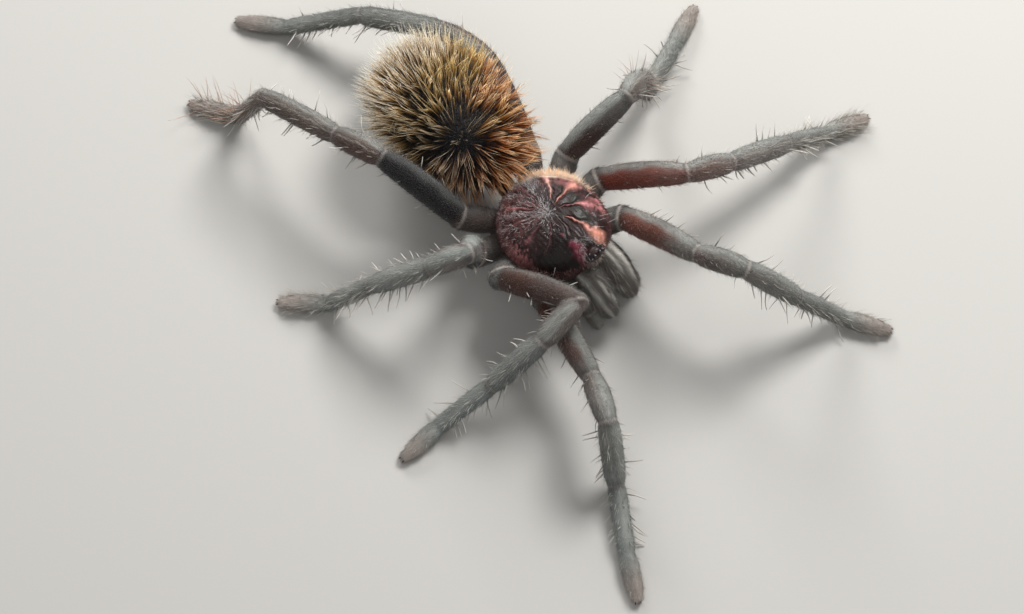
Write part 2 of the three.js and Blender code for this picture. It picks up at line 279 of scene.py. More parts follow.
def roundShell(rule, rows=48, columns=64):
    # A unit ball by latitude and longitude, put through a rule.
    down = np.linspace(0, math.pi, rows)[:, None]
    around = circle(columns)[None]
    ball = [np.sin(down) * np.cos(around), np.sin(down) * np.sin(around), np.cos(down) + 0 * around]
    return closedShell(rule(np.stack(ball, -1)))


def ballShell(centre, halves, rows=48, columns=64):
    # A ball round its centre with half sizes across, along and up.
    return roundShell(lambda ball: np.array(centre) + ball * halves, rows, columns)


def joinShells(shells):
    corners, faces, offset = [], [], 0
    for points, groups in shells:
        corners.append(points)
        faces += [group + offset for group in groups]
        offset += len(points)
    return np.vstack(corners), faces


def putMesh(name, corners, faces, tint=None, place=None):
    mesh = bpy.data.meshes.new(name)
    loops = np.concatenate([group.ravel() for group in faces]).astype(np.int32)
    sizes = np.concatenate([np.full(len(group), group.shape[1]) for group in faces])
    starts = np.concatenate([[0], np.cumsum(sizes)[:-1]]).astype(np.int32)
    mesh.vertices.add(len(corners))
    mesh.vertices.foreach_set("co", toFrame(corners).astype(np.float32).ravel())
    mesh.loops.add(len(loops))
    mesh.loops.foreach_set("vertex_index", loops)
    mesh.polygons.add(len(starts))
    mesh.polygons.foreach_set("loop_start", starts)
    mesh.update(calc_edges=True)
    mesh.shade_smooth()
    if tint is not None:
        putTint(mesh, tint)
    if place is not None:
        mesh.uv_layers.new(name="OFBake").data.foreach_set("uv", place[loops].astype(np.float32).ravel())
    return putObject(name, mesh)


def putTint(mesh, tint):
    colours = np.ones((len(mesh.vertices), 4), np.float32)
    colours[:, :3] = tint
    mesh.color_attributes.new("tint", "FLOAT_COLOR", "POINT").data.foreach_set("color", colours.ravel())


def readArray(items, key, kind=np.float32):
    values = np.empty(len(items) * 3, kind)
    items.foreach_get(key, values)
    return values.reshape(-1, 3)


def finishPiece(obj, material, nodes=()):
    obj.data.materials.append(material)
    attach(obj, "root")
    if nodes:
        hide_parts(*nodes)


def putPiece(name, shell, material, nodes=(), tint=None, place=None):
    finishPiece(putMesh(name, *shell, tint, place), material, nodes)


# Limbs are chains of rods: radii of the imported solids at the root, middle and end, height against width, and
# the rise of the middle.
legKinds = ("femur", "patella", "tibia", "metatarsus", "tarsus")
legLengths = (
    (14.4, 7.8, 11.6, 10.2, 6.2),
    (13.6, 7.6, 10.8, 9.8, 6.2),
    (13.0, 7.0, 10.6, 10.2, 6.6),
    (15.2, 8.2, 13.2, 13.4, 7.0),
)
legShape = {
    "coxa": ((1.7, 2.15, 2.1), 1.0, 0),
    "femur": ((1.85, 2.15, 1.75), 1.12, 0.6),
    "patella": ((1.75, 2.0, 1.75), 1.05, 0.2),
    "tibia": ((1.75, 1.9, 1.7), 1.0, 0.15),
    "metatarsus": ((1.65, 1.6, 1.55), 0.9, 0.1),
    "tarsus": ((1.55, 1.65, 1.4), 0.8, 0),
}
hips = ((8.4, -6.2), (10.6, 0.2), (10.2, 6.0), (7.2, 11.0))  # across and along, left side
soleHeights = {"metatarsus": 1.35, "tarsus": 0.8}
# on each side and leg: hip height, headings from femur to tarsus, pitches of femur, patella and tibia
stance = {
    1: (
        (8.8, (4, 15, 36, 39, 27), (23, 18, -47)),
        (8.8, (36, 66, 72, 76, 66), (22, -20, -23)),
        (9.4, (75, 106, 107, 106, 106), (39, -36, -74)),
        (8.8, (155, 186, 204, 215, 212), (9, -2, -13)),
    ),
    -1: (
        (7.8, (20, 32, 35, 40, 36), (8, 16, -58)),
        (9.6, (-14, 94, 109, 106, 95), (23, -19, -41)),
        (7.6, (52, 136, 136, 141, 141), (69, -40, -35)),
        (8.8, (164, 171, 172, 167, 156), (36, -12, -11)),
    ),
}
palpHip = (4.7, -5.8, 5.8)
palp = {
    "kinds": ("femur", "patella", "tibia", "tarsus"), "lengths": (5.9, 3.4, 4.0, 4.0),
    "headings": (-4, -14, -158, -170), "pitches": (-13, -68, -4), "scale": 0.66, "heights": {"tarsus": 0.5},
}
coxaRoot = {"across": 0.36, "along": 0.5, "height": 7.6}
limbDepth = 0.32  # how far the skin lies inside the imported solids
chelicera = {
    "heading": 0, "pitch": -35, "length": 9.0, "radii": (2.1, 2.4, 1.8), "depth": 0.3, "tall": 1.2,
    "arch": 0.9,
}
spinneret = {"heading": 170, "pitch": 4, "length": 4.8, "radii": (0.95, 0.8, 0.5), "depth": 0.25}
# the middle between a pair, how far each one stands beside it, along and up
pairRoots = {"chelicera": (0, 2.15, -5.8, 9.8), "spinneret": (2.8, 1.5, 33.0, 6.0)}
pedicel = {"start": (0.2, 5.4, 8.3), "end": (1.2, 12.2, 9.0), "radii": (1.4, 1.3, 1.4), "depth": 0.1}


def pointing(side, heading, pitch):
    h = math.radians(heading)
    p = math.radians(pitch)
    return np.array([side * math.cos(p) * math.sin(h), -math.cos(p) * math.cos(h), math.sin(p)])


def makeRod(limb, kind, side, start, heading, pitch, length, radii, depth, tall=1, arch=0):
    forward = pointing(side, heading, pitch)
    back = pointing(side, heading, pitch + 90)
    return {
        "limb": limb, "kind": kind, "side": side, "start": np.array(start, float), "forward": forward,
        "back": back, "across": np.cross(forward, back), "length": length,
        "radii": np.array(radii) - depth, "tall": tall, "arch": arch,
    }


def rodBetween(limb, kind, side, start, end, radii, depth):
    run = np.array(end, float) - np.array(start, float)
    length = float(np.linalg.norm(run))
    heading = math.degrees(math.atan2(side * run[0], -run[1]))
    pitch = math.degrees(math.asin(run[2] / length))
    return makeRod(limb, kind, side, start, heading, pitch, length, radii, depth)


def limbRods(limb, side, hip, kinds, lengths, headings, pitches, scale=1, heights=soleHeights):
    # From the body out. A segment with a height of its own ends at it, and the others have a pitch.
    root = (hip[0] * coxaRoot["across"], hip[1] * coxaRoot["along"], coxaRoot["height"])
    depth = limbDepth * scale
    rods = [rodBetween(limb, "coxa", side, root, hip, np.array(legShape["coxa"][0]) * scale, depth)]
    start = np.array(hip, float)
    for i, (kind, length) in enumerate(zip(kinds, lengths)):
        if kind in heights:
            pitch = math.degrees(math.asin((heights[kind] - start[2]) / length))
        else:
            pitch = pitches[i]
        radii, tall, arch = legShape[kind]
        shape = (length, np.array(radii) * scale, depth, tall, arch * scale)
        rods.append(makeRod(limb, kind, side, start, headings[i], pitch, *shape))
        start = start + rods[-1]["forward"] * length
    return rods


def allRods():
    rods = []
    for side, word in sides:
        for i, (height, headings, pitches) in enumerate(stance[side]):
            hip = (side * hips[i][0], hips[i][1], height)
            rods += limbRods(f"leg_{word}_{i + 1}", side, hip, legKinds, legLengths[i], headings, pitches)
        rods += limbRods(f"palp_{word}", side, (side * palpHip[0], *palpHip[1:]), **palp)
        for kind, made in (("chelicera", chelicera), ("spinneret", spinneret)):
            middle, beside, *place = pairRoots[kind]
            start = (middle + side * beside, *place)
            rods.append(makeRod(f"{kind}_{word}", kind, side, start, **made))
    rods.append(rodBetween("pedicel", "pedicel", 1, **pedicel))
    return rods


rods = allRods()
limbNames = list(dict.fromkeys(rod["limb"] for rod in rods))
rodLimb = np.array([limbNames.index(rod["limb"]) for rod in rods])
rodKind, rodSide, rodStart, rodForward, rodBack, rodAcross, rodLength, rodRadii, rodTall, rodArch = (
    np.array(values) for values in list(zip(*(rod.values() for rod in rods)))[1:]
)
rodEnd = rodStart + rodForward * rodLength[:, None]


def jointPlanes():
    # Neighbouring rods of a limb meet in the plane that halves the angle between them.
    starts, ends = rodForward.copy(), rodForward.copy()
    for i in range(len(rods) - 1):
        if rodLimb[i] == rodLimb[i + 1]:
            ends[i] = starts[i + 1] = unit(rodForward[i] + rodForward[i + 1])
    return starts, ends


planeStart, planeEnd = jointPlanes()
# how strong the pale ring is at the start and the end of each segment
ringStrength = {
    "coxa": (0, 1.9), "femur": (1.9, 1), "patella": (1, 1), "tibia": (1, 0.7), "metatarsus": (0.7, 0),
}
ringStart, ringEnd = np.array([ringStrength.get(kind, (0, 0)) for kind in rodKind], float).T


def jointRing(points, part, width):
    # 1 in the plane of a joint, falling off as a bell on both sides of it, and 0 far along the limb.
    total = np.zeros(len(points))
    for joint, plane, strength in ((rodStart, planeStart, ringStart), (rodEnd, planeEnd, ringEnd)):
        rel = points - joint[part]
        near = bell(dot(rel, rodForward[part]), 2.4, 4)
        total = np.maximum(total, strength[part] * near * bell(dot(rel, plane[part]), width))
    return np.minimum(total, 1)


abdomen = {
    "centre": (2.8, 22.2, 10.8), "halfWidth": 7.9, "halfLength": 11.4, "rise": 6.6, "drop": 5.8, "turn": 3,
    "frontTaper": 0.06,
}
turnCos = math.cos(math.radians(abdomen["turn"]))
turnSin = math.sin(math.radians(abdomen["turn"]))
core = {"centre": (0, -0.4, 8.7), "halves": (6.4, 7.2, 2.2)}  # the flesh between back plate and breastplate
abdomenPart = len(rods)  # parts are numbered: the rods, then the abdomen, then the core
corePart = abdomenPart + 1


def rodRadius(radii, t):
    # A parabola through the radii at the root, the middle and the end.
    first, middle, last = np.moveaxis(np.asarray(radii), -1, 0)
    return first + (last - first) * t + bulge(middle - (first + last) / 2, t)


def rodCoords(points, part):
    # Along a rod as a share of its length, the angle round it from its back, and the height over its surface.
    rel = points - rodStart[part]
    reach = dot(rel, rodForward[part])
    t = np.clip(reach / rodLength[part], 0, 1)
    over = reach - t * rodLength[part]
    x = dot(rel, rodAcross[part]) * rodSide[part]
    z = (dot(rel, rodBack[part]) - bulge(rodArch[part], t)) / rodTall[part]
    height = np.sqrt(x * x + z * z + over * over) - rodRadius(rodRadii[part], t)
    return t, np.arctan2(x, z), height


def abdomenCoords(points):
    # Across, along and up as shares of the egg's half sizes.
    rel = points - np.array(abdomen["centre"])
    across = rel[:, 0] * turnCos - rel[:, 1] * turnSin
    along = (rel[:, 0] * turnSin + rel[:, 1] * turnCos) / abdomen["halfLength"]
    up = rel[:, 2] / np.where(rel[:, 2] > 0, abdomen["rise"], abdomen["drop"])
    return across / (abdomen["halfWidth"] * (1 + abdomen["frontTaper"] * along)), along, up


def abdomenRule(ball):
    # An egg: half sizes across, along, above and below, wider to the rear, turned a little to the left.
    across = ball[..., 0] * abdomen["halfWidth"] * (1 + abdomen["frontTaper"] * ball[..., 1])
    along = ball[..., 1] * abdomen["halfLength"]
    up = ball[..., 2] * np.where(ball[..., 2] > 0, abdomen["rise"], abdomen["drop"])
    turned = [across * turnCos + along * turnSin, along * turnCos - across * turnSin, up]
    return np.array(abdomen["centre"]) + np.stack(turned, -1)


def nearestPart(points):
    best = np.full(len(points), 1e9)
    part = np.zeros(len(points), int)
    for index in range(len(rods)):
        height = rodCoords(points, np.full(len(points), index))[2]
        part = np.where(height < best, index, part)
        best = np.minimum(height, best)
    egg = (np.sqrt(sum(axis ** 2 for axis in abdomenCoords(points))) - 1) * abdomen["halfWidth"]
    part = np.where(egg < best, abdomenPart, part)
    lump = (np.linalg.norm((points - core["centre"]) / core["halves"], axis=1) - 1) * core["halves"][2]
    return np.where(lump < np.minimum(egg, best), corePart, part)


skinShape = {
    "columns": 28, "rings": 30, "capRings": 7, "waist": 0.14, "waistWidth": 0.75, "voxel": 0.31,
    "smoothing": 4,
    "plain": ("coxa", "chelicera", "spinneret", "pedicel"),  # these have no waists
}


def rodShell(rod):
    # Circles carried along the rod, of the rod's radius less a narrow waist at each joint. Past each end it
    # closes as a half ball.
    cap = np.linspace(0, math.pi / 2, skinShape["capRings"])
    length = rod["length"]
    body = np.linspace(0, 1, skinShape["rings"])[1:-1]
    first, last = rod["radii"][0], rod["radii"][2]
    reach = np.concatenate([-first * np.cos(cap), body * length, length + last * np.sin(cap)])
    share = np.concatenate([np.sin(cap), np.ones(len(body)), np.cos(cap)])
    t = np.clip(reach / length, 0, 1)
    waist = sum(bell(reach - end, skinShape["waistWidth"]) for end in (0, length))
    waist = waist * (rod["kind"] not in skinShape["plain"])
    radius = rodRadius(rod["radii"], t) * (1 - skinShape["waist"] * waist) * share
    around = circle(skinShape["columns"])
    lift = bulge(rod["arch"], t)
    return closedShell(
        rod["start"] + reach[:, None, None] * rod["forward"]
        + (radius[:, None] * np.sin(around))[..., None] * rod["across"]
        + (radius[:, None] * np.cos(around) * rod["tall"] + lift[:, None])[..., None] * rod["back"]
    )


def joinedFlesh():
    shells = [*map(rodShell, rods), roundShell(abdomenRule), ballShell(**core)]
    obj = putMesh("skin", *joinShells(shells))
    remesh = obj.modifiers.new("join", "REMESH")
    remesh.mode, remesh.voxel_size = "VOXEL", skinShape["voxel"] * mm
    smooth = obj.modifiers.new("soften", "SMOOTH")
    smooth.factor, smooth.iterations = 0.5, skinShape["smoothing"]
    mesh = bpy.data.meshes.new_from_object(obj.evaluated_get(bpy.context.evaluated_depsgraph_get()))
    obj.modifiers.clear()
    obj.data = mesh
    places = readArray(mesh.vertices, "co")
    places[:, 2] = np.maximum(places[:, 2], lowest * mm)
    mesh.vertices.foreach_set("co", places.ravel())
    mesh.update()
    mesh.shade_smooth()
    return obj


def readSkin(mesh):
    # The skin as arrays: corners, corner normals, triangles with their areas and middles, and their parts.
    corners = (readArray(mesh.vertices, "co").astype(float) - bodyOrigin) / mm
    normals = readArray(mesh.vertex_normals, "vector").astype(float)
    mesh.calc_loop_triangles()
    triangles = readArray(mesh.loop_triangles, "vertices", np.int32)
    a, b, c = (corners[triangles[:, i]] for i in range(3))
    area = np.linalg.norm(np.cross(b - a, c - a), axis=1) / 2
    middles = (a + b + c) / 3
    return {
        "corners": corners, "normals": normals, "triangles": triangles, "area": area, "middles": middles,
        "part": nearestPart(middles),
    }


legTones = toneTable(
    bandPale="b0b2ab", underside="5f5954", ring="d3c6bc", notch="33302d", stripe="bdbab1", toe="c6b3a7",
    patellaFlank="7a4a33", coxa="4e3d35", jaw="766f66", jawStripe="f6f1e7", core="2e2523", tail="6f6259",
)
# on each limb: the tone of its flanks, how much of it is lost towards the knee, how pale the band on its back
# is, how far the band is turned to the limb's rear side (degrees), and the tone of the rest. The pale band is
# partly the hairs' own grey and partly painted sheen, turned on each leg towards the side the light falls on.
legMarks = {
    "leg_left_1": ("8e523f", 0.8, 0.85, 34, "92958e"),
    "leg_left_2": ("94422b", 0.35, 0.85, 36, "92958e"),
    "leg_left_3": ("4d362d", 0.45, 0.9, 30, "92958e"),
    "leg_left_4": ("453530", 0, 0.45, 30, "92958e"),
    # the right legs' paler rest tones are painted light, set against the shade they stand in
    "leg_right_1": ("6f3d26", 0.6, 0.8, -34, "9aa09b"),
    "leg_right_2": ("5a3322", 0.25, 0.35, -60, "a2aaa5"),
    "leg_right_3": ("5d4336", 0.45, 1.3, -8, "b0b3ae"),
    # this leg's near-black flanks and weak band are painted shade
    "leg_right_4": ("1a1211", 0, 0.2, 40, "8a7668"),
    # the palps' darker tones are painted shade
    "palp_left": ("6b655d", 0, 0.3, -20, "77726a"),
    "palp_right": ("6b655d", 0, 0.3, 20, "77726a"),
    "other": ("5d4336", 0.45, 0.6, 0, "92958e"),
}
sheenBandShape = {"half": 36, "edge": 17, "wander": 9, "awayFromThigh": 0.7}  # half, edge and wander in degrees
stripeShape = {"apart": 19, "width": 4.5}
flankStrength = {"femur": 1.0, "patella": 0.7, "tibia": 0.25, "metatarsus": 0.12, "tarsus": 0.0, "coxa": 0.3}
palpFlank = 0.3
rodFlank, rodFade, rodSheenBand, rodTurnToLight, rodShank = (
    np.array(values) for values in zip(*(legMarks.get(rod["limb"], legMarks["other"]) for rod in rods))
)
rodFlank, rodShank = (np.array([tone(text) for text in texts]) for texts in (rodFlank, rodShank))
rodTurnToLight[(rodKind != "femur") & (rodTurnToLight < -35)] = 8  # a leg that folds back at its knee shows its other side to the light, so the painted sheen band turns there
rodStrength = np.array([flankStrength.get(kind, 0) for kind in rodKind])
rodStrength[[rod["limb"].startswith("palp") for rod in rods]] *= palpFlank


def legTone(points, part):
    # A pale band along the back, partly the hairs' own grey and partly painted sheen on the side the light
    # falls on, coloured flanks that fade towards the foot, two fine stripes on patella and tibia, thin pale
    # rings with dark edges at the joints, a browner underside and tan toes.
    t, angle, height = rodCoords(points, part)
    kind = rodKind[part]
    thigh = kind == "femur"
    degrees = np.degrees(angle) + sheenBandShape["wander"] * waves(points, 3.2, 14)
    half, edge = sheenBandShape["half"], sheenBandShape["edge"]
    band = 1 - ramp(np.abs(degrees + rodTurnToLight[part]), half - edge, half + edge)
    band = band * np.where(thigh, rodSheenBand[part], np.maximum(rodSheenBand[part], sheenBandShape["awayFromThigh"]))
    under = ramp(np.abs(degrees), 115, 155)
    flank = blendTone(rodFlank[part], legTones["patellaFlank"], (kind == "patella") * 0.5)
    lost = np.where(thigh, ramp(t + 0.15 * waves(points, 4, 15), 0.35, 1.0), 0.3 + 0.7 * t)
    fade = (1 - rodFade[part] * lost) * np.where(thigh, ramp(t, 0.0, 0.09), 1)
    colour = blendTone(rodShank[part], flank, rodStrength[part] * fade * (1 - 0.35 * under))
    stripe = bell(np.abs(degrees) - stripeShape["apart"], stripeShape["width"])
    atHip = (kind == "coxa") * (0.5 + 0.35 * (1 - ramp(t, 0.5, 1.0))) + thigh * 0.5 * (1 - ramp(t, 0.0, 0.16))
    ring = jointRing(points, part, 0.2)
    colour = painted(
        colour, legTones, bandPale=band, underside=under * 0.7,
        stripe=stripe * np.isin(kind, ("patella", "tibia")) * 0.7, coxa=atHip,
        notch=(jointRing(points, part, 0.6) - ring) * 0.5, ring=ring * 0.75,
        toe=ramp(t, -0.1, 0.9) * (kind == "tarsus") * 0.7,
    )
    return colour * (1 + 0.14 * waves(points, 5, 21) + 0.08 * waves(points, 1.3, 22))[:, None]


# on each side's jaw: angle round it, half width in degrees, where it starts and where it fades out
jawStripes = {
    1: ((-40, 17, -0.3, 1.2), (7, 7, -0.3, 0.7)),
    -1: ((-36, 12, -0.3, 1.2), (7, 6, 0.35, 0.85), (22, 13, 0.66, 0.98)),
}


def jawTone(points, part):
    # Bright stripes run down each jaw's front, its sides are darker, and the whole right jaw is darker as
    # painted shade.
    t, angle, height = rodCoords(points, part)
    degrees = np.degrees(angle) + 5 * waves(points, 2.2, 24)
    stripes = np.zeros(len(points))
    for side, lines in jawStripes.items():
        for at, wide, start, end in lines:
            length = ramp(t, start, start + 0.15) * (1 - ramp(t, end - 0.25, end))
            stripes += bell(degrees - at, wide) * length * (rodSide[part] == side)
    sideways = ramp(np.abs(degrees), 70, 140) * 0.8
    colour = painted(legTones["jaw"], legTones, jawStripe=np.clip(stripes, 0, 1), underside=sideways)
    # the right jaw is darkened all over as painted shade
    return colour * ((1 + 0.12 * waves(points, 1.6, 23)) * np.where(rodSide[part] < 0, 0.72, 1))[:, None]


bodyTones = toneTable(velvet="120c0a", root="1d120c")
# the hairs are paler towards their tips
hairTones = {
    "middle": toneTable(front="dd7c2c", centre="c79228", rear="dcae66", whorl="7c6850", under="4a3d35"),
    "tip": toneTable(front="ffdeac", centre="f8dd9c", rear="fffaea", whorl="dccbb2", under="4a3d35"),
}
# the point on the abdomen's back that its hairs lie away from, as shares of the egg's half sizes
whorl = {"across": -0.42, "along": -0.48, "up": 0.77, "spread": 0.3}


def abdomenTone(points, level):
    # Rust in front and on the left side, olive gold in the middle, cream behind, grey beige round the whorl,
    # and a plain brown belly.
    across, along, up = abdomenCoords(points)
    patches = waves(points, 6, 5) * 0.35
    away = np.hypot(across - whorl["across"] + 0.12, along - whorl["along"] - 0.05)
    tones = hairTones[level]
    return painted(
        tones["front"], tones, centre=ramp(along + patches - 0.55 * ramp(across, 0.1, 0.9), -0.75, -0.1),
        rear=ramp(along + patches - 0.3 * across, 0.0, 0.6), whorl=bell(away, 0.42) * 0.9,
        under=ramp(-up, 0.1, 0.6),
    )


def coatTone(points, part):
    rod = np.minimum(part, len(rods) - 1)
    colour = legTone(points, rod)
    jaw = rodKind[rod] == "chelicera"
    colour[jaw] = jawTone(points[jaw], rod[jaw])
    colour[rodKind[rod] == "pedicel"] = legTones["core"]
    colour[rodKind[rod] == "spinneret"] = legTones["tail"]
    body = part == abdomenPart
    colour[body] = abdomenTone(points[body], "middle")
    colour[part == corePart] = legTones["core"]
    return colour


pairedNames = ("leg_", "palp_", "chelicera_", "spinneret_")
fleshNodes = [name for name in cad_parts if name.startswith(pairedNames)] + ["pedicel", "abdomen"]
skinShade = 0.6  # the skin is the coat's tone, darker


def makeSkin():
    obj = joinedFlesh()
    skin = readSkin(obj.data)
    part = nearestPart(skin["corners"])
    colour = coatTone(skin["corners"], part) * skinShade
    colour[part == abdomenPart] = bodyTones["velvet"]
    putTint(obj.data, colour)
    material = markedMaterial("skinHide", 0.62, 0.25, 900, 0.6, 5200, sheen=0.3)
    finishPiece(obj, material, fleshNodes)
    print("skin:", len(skin["triangles"]), "triangles")
    return skin


bakePatch = 0.003  # the width of a strand's patch on the map


def strandArrays(roots, first, last, length, radius, rings, stops, place, taper=0.75, crowd=1):
    # A strand's middle line leaves its root one way and turns evenly to another:
    # root + length x (t x first + t squared / 2 x (last - first)). Three sides round it taper to a point.
    # The stops are tones at even steps from root to tip. Crowd gathers the rings near the tip.
    count = len(roots)
    t = 1 - (1 - np.arange(rings + 1) / rings) ** crowd
    line = t[None, :, None] * first[:, None] + t[None, :, None] ** 2 / 2 * (last - first)[:, None]
    middle = roots[:, None] + length[:, None, None] * line
    heading = unit(first[:, None] + t[None, :, None] * (last - first)[:, None])
    steady = np.where(np.abs(first[:, 2:]) < 0.8, np.array([0, 0, 1.0]), np.array([1.0, 0, 0]))[:, None]
    side = unit(np.cross(heading, steady))
    other = np.cross(heading, side)
    turn = circle(3)[:, None]
    thick = radius[:, None] * (1 - t[None, :-1]) ** taper
    ringPoints = middle[:, :-1, None] + thick[..., None, None] * (
        np.cos(turn) * side[:, :-1, None] + np.sin(turn) * other[:, :-1, None]
    )
    corners = np.concatenate([ringPoints.reshape(count, -1, 3), middle[:, -1:]], 1)
    corners[..., 2] = np.maximum(corners[..., 2], lowest)
    each = 3 * rings + 1
    k = np.arange(3)
    following = (k + 1) % 3
    base = 3 * np.arange(rings - 1)[:, None]
    quads = np.stack([base + k, base + following, base + 3 + following, base + 3 + k], -1).reshape(-1, 4)
    tips = np.stack([each - 4 + k, each - 4 + following, 0 * k + each - 1], -1)
    ends = np.vstack([tips, [[2, 1, 0]]])
    offset = (np.arange(count) * each)[:, None, None]
    faces = [(ends + offset).reshape(-1, 3)]
    if rings > 1:
        faces.append((quads + offset).reshape(-1, 4))
    along = np.append(np.repeat(t[:-1], 3), 1.0)
    level = along * (len(stops) - 1)
    below = np.minimum(level.astype(int), len(stops) - 2)
    stops = np.stack(stops, 1)
    tint = blendTone(stops[:, below], stops[:, below + 1], level - below)
    across = np.append(np.tile([0.0, 0.5, 1.0], rings), 0.5)
    place = place[:, None] + np.stack([across, along], -1) * bakePatch
    return corners.reshape(-1, 3), faces, tint.reshape(-1, 3), place.reshape(-1, 2)


def evenStrands(made, roots, first, last, stops, place, draw):
    count = len(roots)
    length = draw.uniform(*made["length"], count)
    radius = np.full(count, made["radius"])
    return strandArrays(roots, first, last, length, radius, made["rings"], stops, place, made["taper"])


def putCoat(name, layers, material):
    points, faces, tints, places = zip(*layers)
    shell = joinShells(zip(points, faces))
    putPiece(name, shell, material, tint=np.vstack(tints), place=np.vstack(places))
    print(name, sum(len(group) * (group.shape[1] - 2) for group in shell[1]), "triangles")


def scatter(skin, density, draw):
    # Roots spread evenly over the skin: each triangle gets its area times the density, rounded at random.
    expected = skin["area"] * density
    count = np.floor(expected + draw.random(len(expected))).astype(int)
    chosen = np.repeat(np.arange(len(count)), count)
    a = draw.random(len(chosen))
    b = draw.random(len(chosen))
    flip = a + b > 1
    a[flip], b[flip] = 1 - a[flip], 1 - b[flip]
    weights = np.stack([1 - a - b, a, b], -1)[..., None]
    triangle = skin["triangles"][chosen]
    roots, normals = ((skin[key][triangle] * weights).sum(1) for key in ("corners", "normals"))
    return roots, unit(normals), skin["part"][chosen]


def layAlong(normals, along, lift, draw, stray=0.12):
    # A direction on the skin along the limb, lifted off it by an angle, with a little stray.
    flat = unit(along - dot(along, normals)[:, None] * normals)
    angle = np.radians(lift)[:, None]
    return unit(np.cos(angle) * flat + np.sin(angle) * normals + stray * draw.normal(size=normals.shape))


def limbPlace(points, part):
    # An unwrap of these limbs: each has its own strip, along it from root to tip and round it.
    t, angle, height = rodCoords(points, part)
    limbs = np.unique(rodLimb[part])
    before, whole = np.zeros((2, len(rods)))
    for limb in limbs:
        own = np.flatnonzero(rodLimb == limb)
        ends = np.cumsum(rodLength[own])
        before[own] = ends - rodLength[own]
        whole[own] = ends[-1]
    row = np.searchsorted(limbs, rodLimb[part])
    u = 0.01 + 0.97 * (before[part] + t * rodLength[part]) / whole[part]
    v = (row + 0.04 + 0.92 * (angle / (2 * math.pi) + 0.5)) / len(limbs)
    return np.stack([u, v * 0.99], -1)


legCoat = {
    "velvet": {"perMm2": 27, "length": (0.35, 0.68), "radius": 0.024, "lift": (14, 44), "rings": 1,
               "shades": (0.75, 1.15)},
    "fuzz": {"perMm2": 2.4, "length": (0.7, 1.35), "radius": 0.02, "lift": (34, 68), "rings": 2,
             "shades": (0.9, 1.4)},
    "scopula": {"perMm2": 16, "length": (0.4, 0.75), "radius": 0.028, "lift": (35, 75), "rings": 1,
                "shades": (0.7, 1.2)},
}


def limbLayer(skin, made, weight, draw):
    roots, normals, part = scatter(skin, made["perMm2"] * weight, draw)
    count = len(roots)
    lift = draw.uniform(*made["lift"], count)
    first, last = (layAlong(normals, rodForward[part], lift * share, draw) for share in (1, 0.35))
    length = draw.uniform(*made["length"], count)
    colour = coatTone(roots, part) * draw.uniform(0.85, 1.15, (count, 1))
    stops = [colour * shade for shade in made["shades"]]
    radius = np.full(count, made["radius"])
    return strandArrays(roots, first, last, length, radius, made["rings"], stops, limbPlace(roots, part))


def makeLimbCoat(skin):
    # Velvet all over, thinner at the feet and in the joints' rings, longer fuzz, and a brush under the feet.
    material = markedMaterial("limbHair", 0.5, 0.12, 2500, sheen=0.35)
    part = np.minimum(skin["part"], len(rods) - 1)
    onRod = skin["part"] < len(rods)
    t, angle, height = rodCoords(skin["middles"], part)
    foot = ramp(t, 0.0, 0.6) * (rodKind[part] == "metatarsus") + (rodKind[part] == "tarsus")
    low = ramp(np.abs(np.degrees(angle)), 50, 110)
    covered = onRod * (1 - 0.6 * jointRing(skin["middles"], part, 0.15))
    legs = [name for name in limbNames if name.startswith("leg_")]
    groups = {"legCoat" + titled(name[4:]): [name] for name in legs}
    groups["headCoat"] = [name for name in limbNames if name not in legs]
    for i, (name, limbs) in enumerate(groups.items()):
        draw = np.random.default_rng(100 + i)
        own = covered * np.isin(rodLimb[part], [limbNames.index(limb) for limb in limbs])
        weights = {"velvet": own * (1 - 0.4 * foot), "fuzz": own, "scopula": own * foot * low}
        layers = [limbLayer(skin, legCoat[key], weight, draw) for key, weight in weights.items()]
        putCoat(name, layers, material)


# Each set of bristles: how many on each segment of a leg, the angles round it where they stand (0 is its
# back, 180 below), their length and thickness in mm, their lift off the leg and how it eases to the tip. The
# stout ones are blunt.
bristleSets = (
    {"perLeg": (6, 5, 14, 11, 0), "angles": (60, 165), "length": (1.8, 3.5), "radius": 0.14,
     "lift": (42, 78), "ease": 0.85, "taper": 0.28, "crowd": 2.4, "tip": "ebe5db", "root": "bfb9ae"},
    {"perLeg": (30, 26, 70, 60, 16), "angles": (10, 172), "length": (0.9, 1.9), "radius": 0.045,
     "lift": (38, 74), "ease": 0.7, "taper": 0.5, "crowd": 1.5, "tip": "efe9df", "root": "bdb7ac"},
)
segmentLength = dict(zip(legKinds, (0.6, 0.85, 1.0, 0.95, 0.7)))
